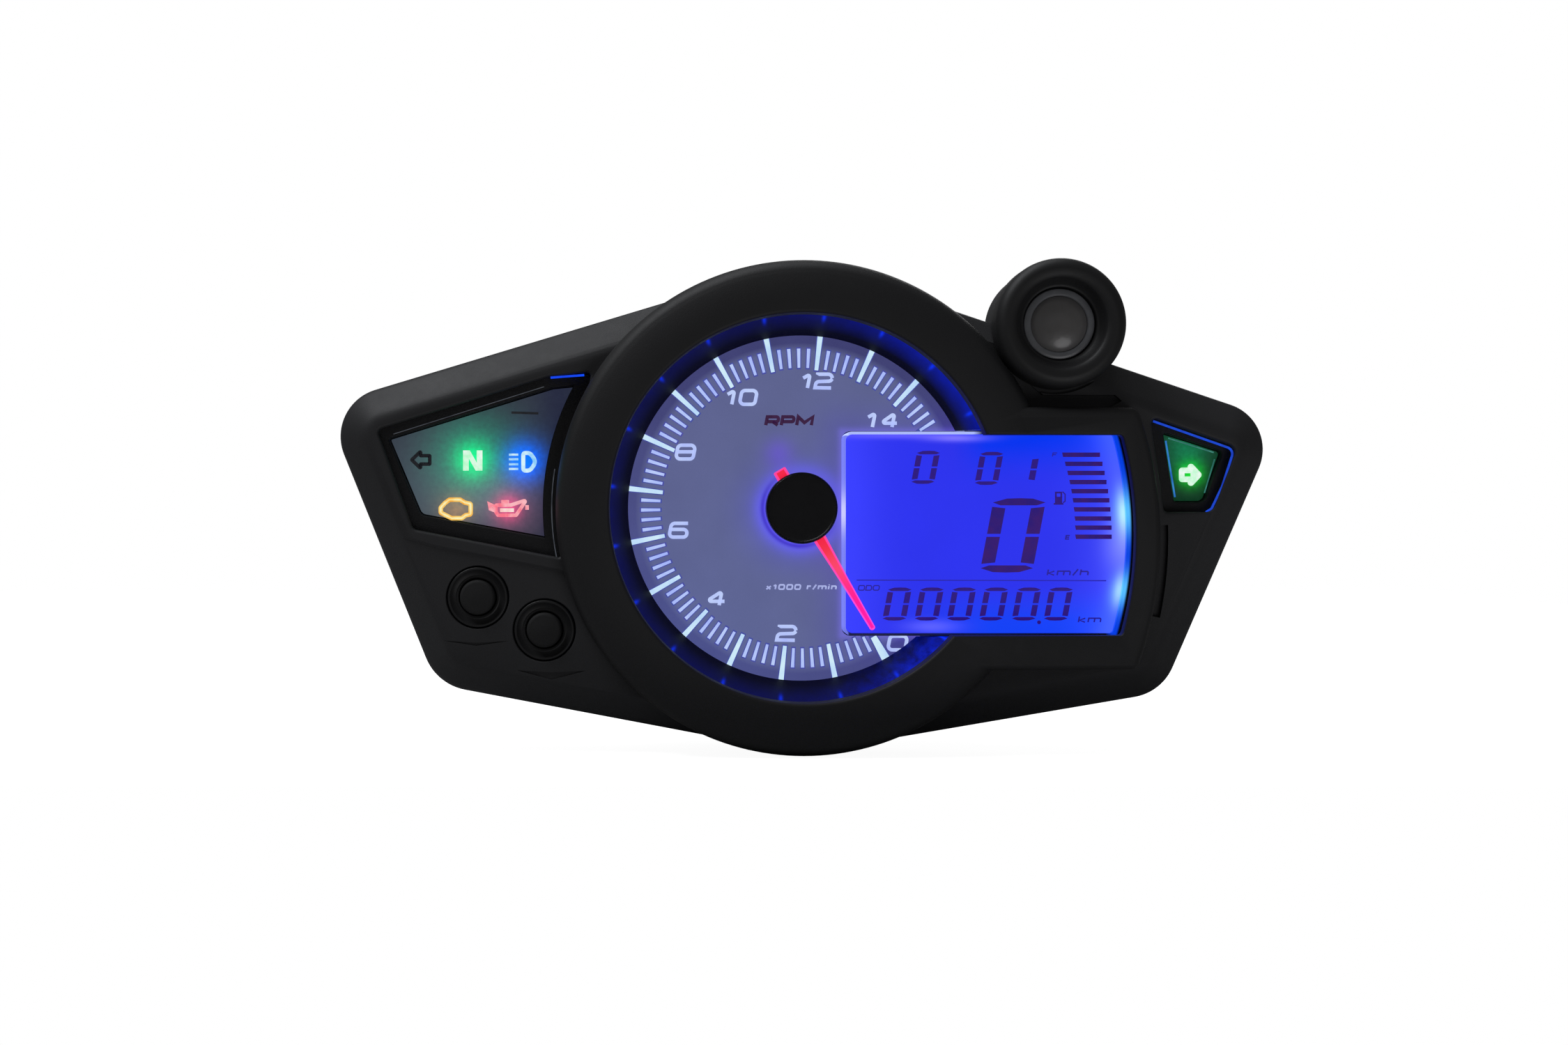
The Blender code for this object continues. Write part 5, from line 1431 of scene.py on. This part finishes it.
def make_shift_light():
    low, top, r = HOOD.low, HOOD.high, HOOD.radius - 0.01
    lens_r = 7.9
    profile = [(9.1, low), (r - 0.5, low), (r - 0.1, low + 0.8), (r, low + 1.6), (r, top - 2.9)]
    profile += edge_round(r, top - 2.9, 2.7, 2.9, 8)
    profile += [(11.4, top - 0.25), (10.7, top - 0.5), (10.35, top - 0.95), (10.1, top - 1.6)]
    profile += [(9.2, top - 3.4), (8.9, top - 3.6), (lens_r + 0.75, top - 3.7), (lens_r + 0.65, top - 4.0)]
    profile += [(lens_r + 0.6, top - 7.4), (9.1, top - 7.4)]
    piece(lathe("pod_hood", profile, POD, 160), "hood_plastic", ["shift_light_hood"])

    base = LAMP_LENS.low
    crown = LAMP_LENS.high
    dome_r, dome_foot = 6.9, base + 3.6
    profile = [(0, base), (6.3, base), (6.3, base + 1.7), (dome_r, base + 1.7), (dome_r, dome_foot)]
    profile += edge_round(dome_r, dome_foot, dome_r, crown - dome_foot, 12)
    dome = lathe("pod_lens", profile, POD, 128)
    piece(dome, "lamp_lens", ["shift_light_lens"])
    ring = [(7.1, 2.0), (8.35, 2.0), (8.35, 4.3), (8.1, 4.7), (7.7, 4.85)]
    ring += [(7.0, 4.9), (6.75, 4.85), (6.55, 4.6), (6.65, 4.45), (7.1, 4.4)]
    profile = [(radius, base + up) for radius, up in ring]
    piece(lathe("pod_lens_ring", profile, POD, 128), "lens_ring")


# ---------------------------------------------------------------- carried-over parts and stage
def paint_cad_nodes():
    slots = {part["node"]: part["material_slot"] for part in frame["record"]["subparts"]}
    for name, obj in frame["nodes"].items():
        if obj.hide_render:
            continue
        material = MATERIALS[slots[name]]
        if not obj.material_slots:
            obj.data.materials.append(material)
        for slot in obj.material_slots:
            slot.material = material


def make_stage():
    floor_z = COVER.bottom * MM - 0.0002  # a hair below the object
    bpy.ops.mesh.primitive_plane_add(size=1.0, location=(0, 0.41, floor_z))
    floor = bpy.context.object
    floor.name = "studio_floor"
    paper = Surface("studio_paper", colour=(0.4, 0.4, 0.4), roughness=0.9, specular=0.0, strength=0.95)
    paper.set(glow=(1.0, 1.0, 1.0))
    floor.data.materials.append(paper.material)
    # The paper lights itself and not the object.
    lit = bpy.data.collections.new("paper_light")
    lit.objects.link(floor)
    floor.light_linking.receiver_collection = lit

    world = bpy.data.worlds.new("studio")
    bpy.context.scene.world = world
    world.use_nodes = True
    tree = world.node_tree
    back = tree.nodes["Background"]
    seen = node_of(tree, "ShaderNodeMapRange", {3: 0.13, 4: 1.0})
    tree.links.new(tree.nodes.new("ShaderNodeLightPath").outputs["Is Camera Ray"], seen.inputs[0])
    tree.links.new(seen.outputs[0], back.inputs["Strength"])
    back.inputs["Color"].default_value = (1.0, 1.0, 1.0, 1.0)

    for name, place, aim, size, power, colour in (
        ("key", (-0.5, -0.22, 0.8), (0, 0, 0), 0.45, 4.4, (0.95, 0.97, 1.0)),
        ("fill", (0.3, -0.8, -0.45), (0, 0, 0), 0.5, 1.5, (0.98, 0.98, 1.0)),
        ("top", (-0.1, 0.1, 0.8), (0, 0, 0), 0.5, 1.3, (0.95, 0.97, 1.0)),
        ("back", (0.3, 0.9, 0.5), (0, 0, 0), 0.6, 1.6, (1.0, 1.0, 1.0)),
    ):
        light = bpy.data.lights.new(name, "AREA")
        light.shape = "DISK"
        light.size = size
        light.energy = power
        light.color = colour
        lamp = bpy.data.objects.new(name, light)
        lamp.location = place
        lamp.rotation_mode = "QUATERNION"
        lamp.rotation_quaternion = (Vector(aim) - Vector(place)).to_track_quat("-Z", "Y")
        bpy.context.scene.collection.objects.link(lamp)

    camera = bpy.data.cameras.new("camera")
    camera.sensor_width = 36.0
    camera.lens = 46.6
    camera.shift_x = 0.064
    camera.shift_y = -0.0092
    camera.clip_start, camera.clip_end = 0.01, 50.0
    eye = bpy.data.objects.new("camera", camera)
    eye.location = (-0.028, -0.515, 0.0)
    eye.rotation_euler = (math.radians(90), 0, 0)
    bpy.context.scene.collection.objects.link(eye)
    bpy.context.scene.camera = eye
    bpy.context.scene.view_settings.view_transform = "Standard"


make_cover()
make_rear()
make_header()
make_lens()
make_scale()
make_display()
make_telltales()
make_pointer()
make_buttons()
make_shift_light()
paint_cad_nodes()
make_stage()
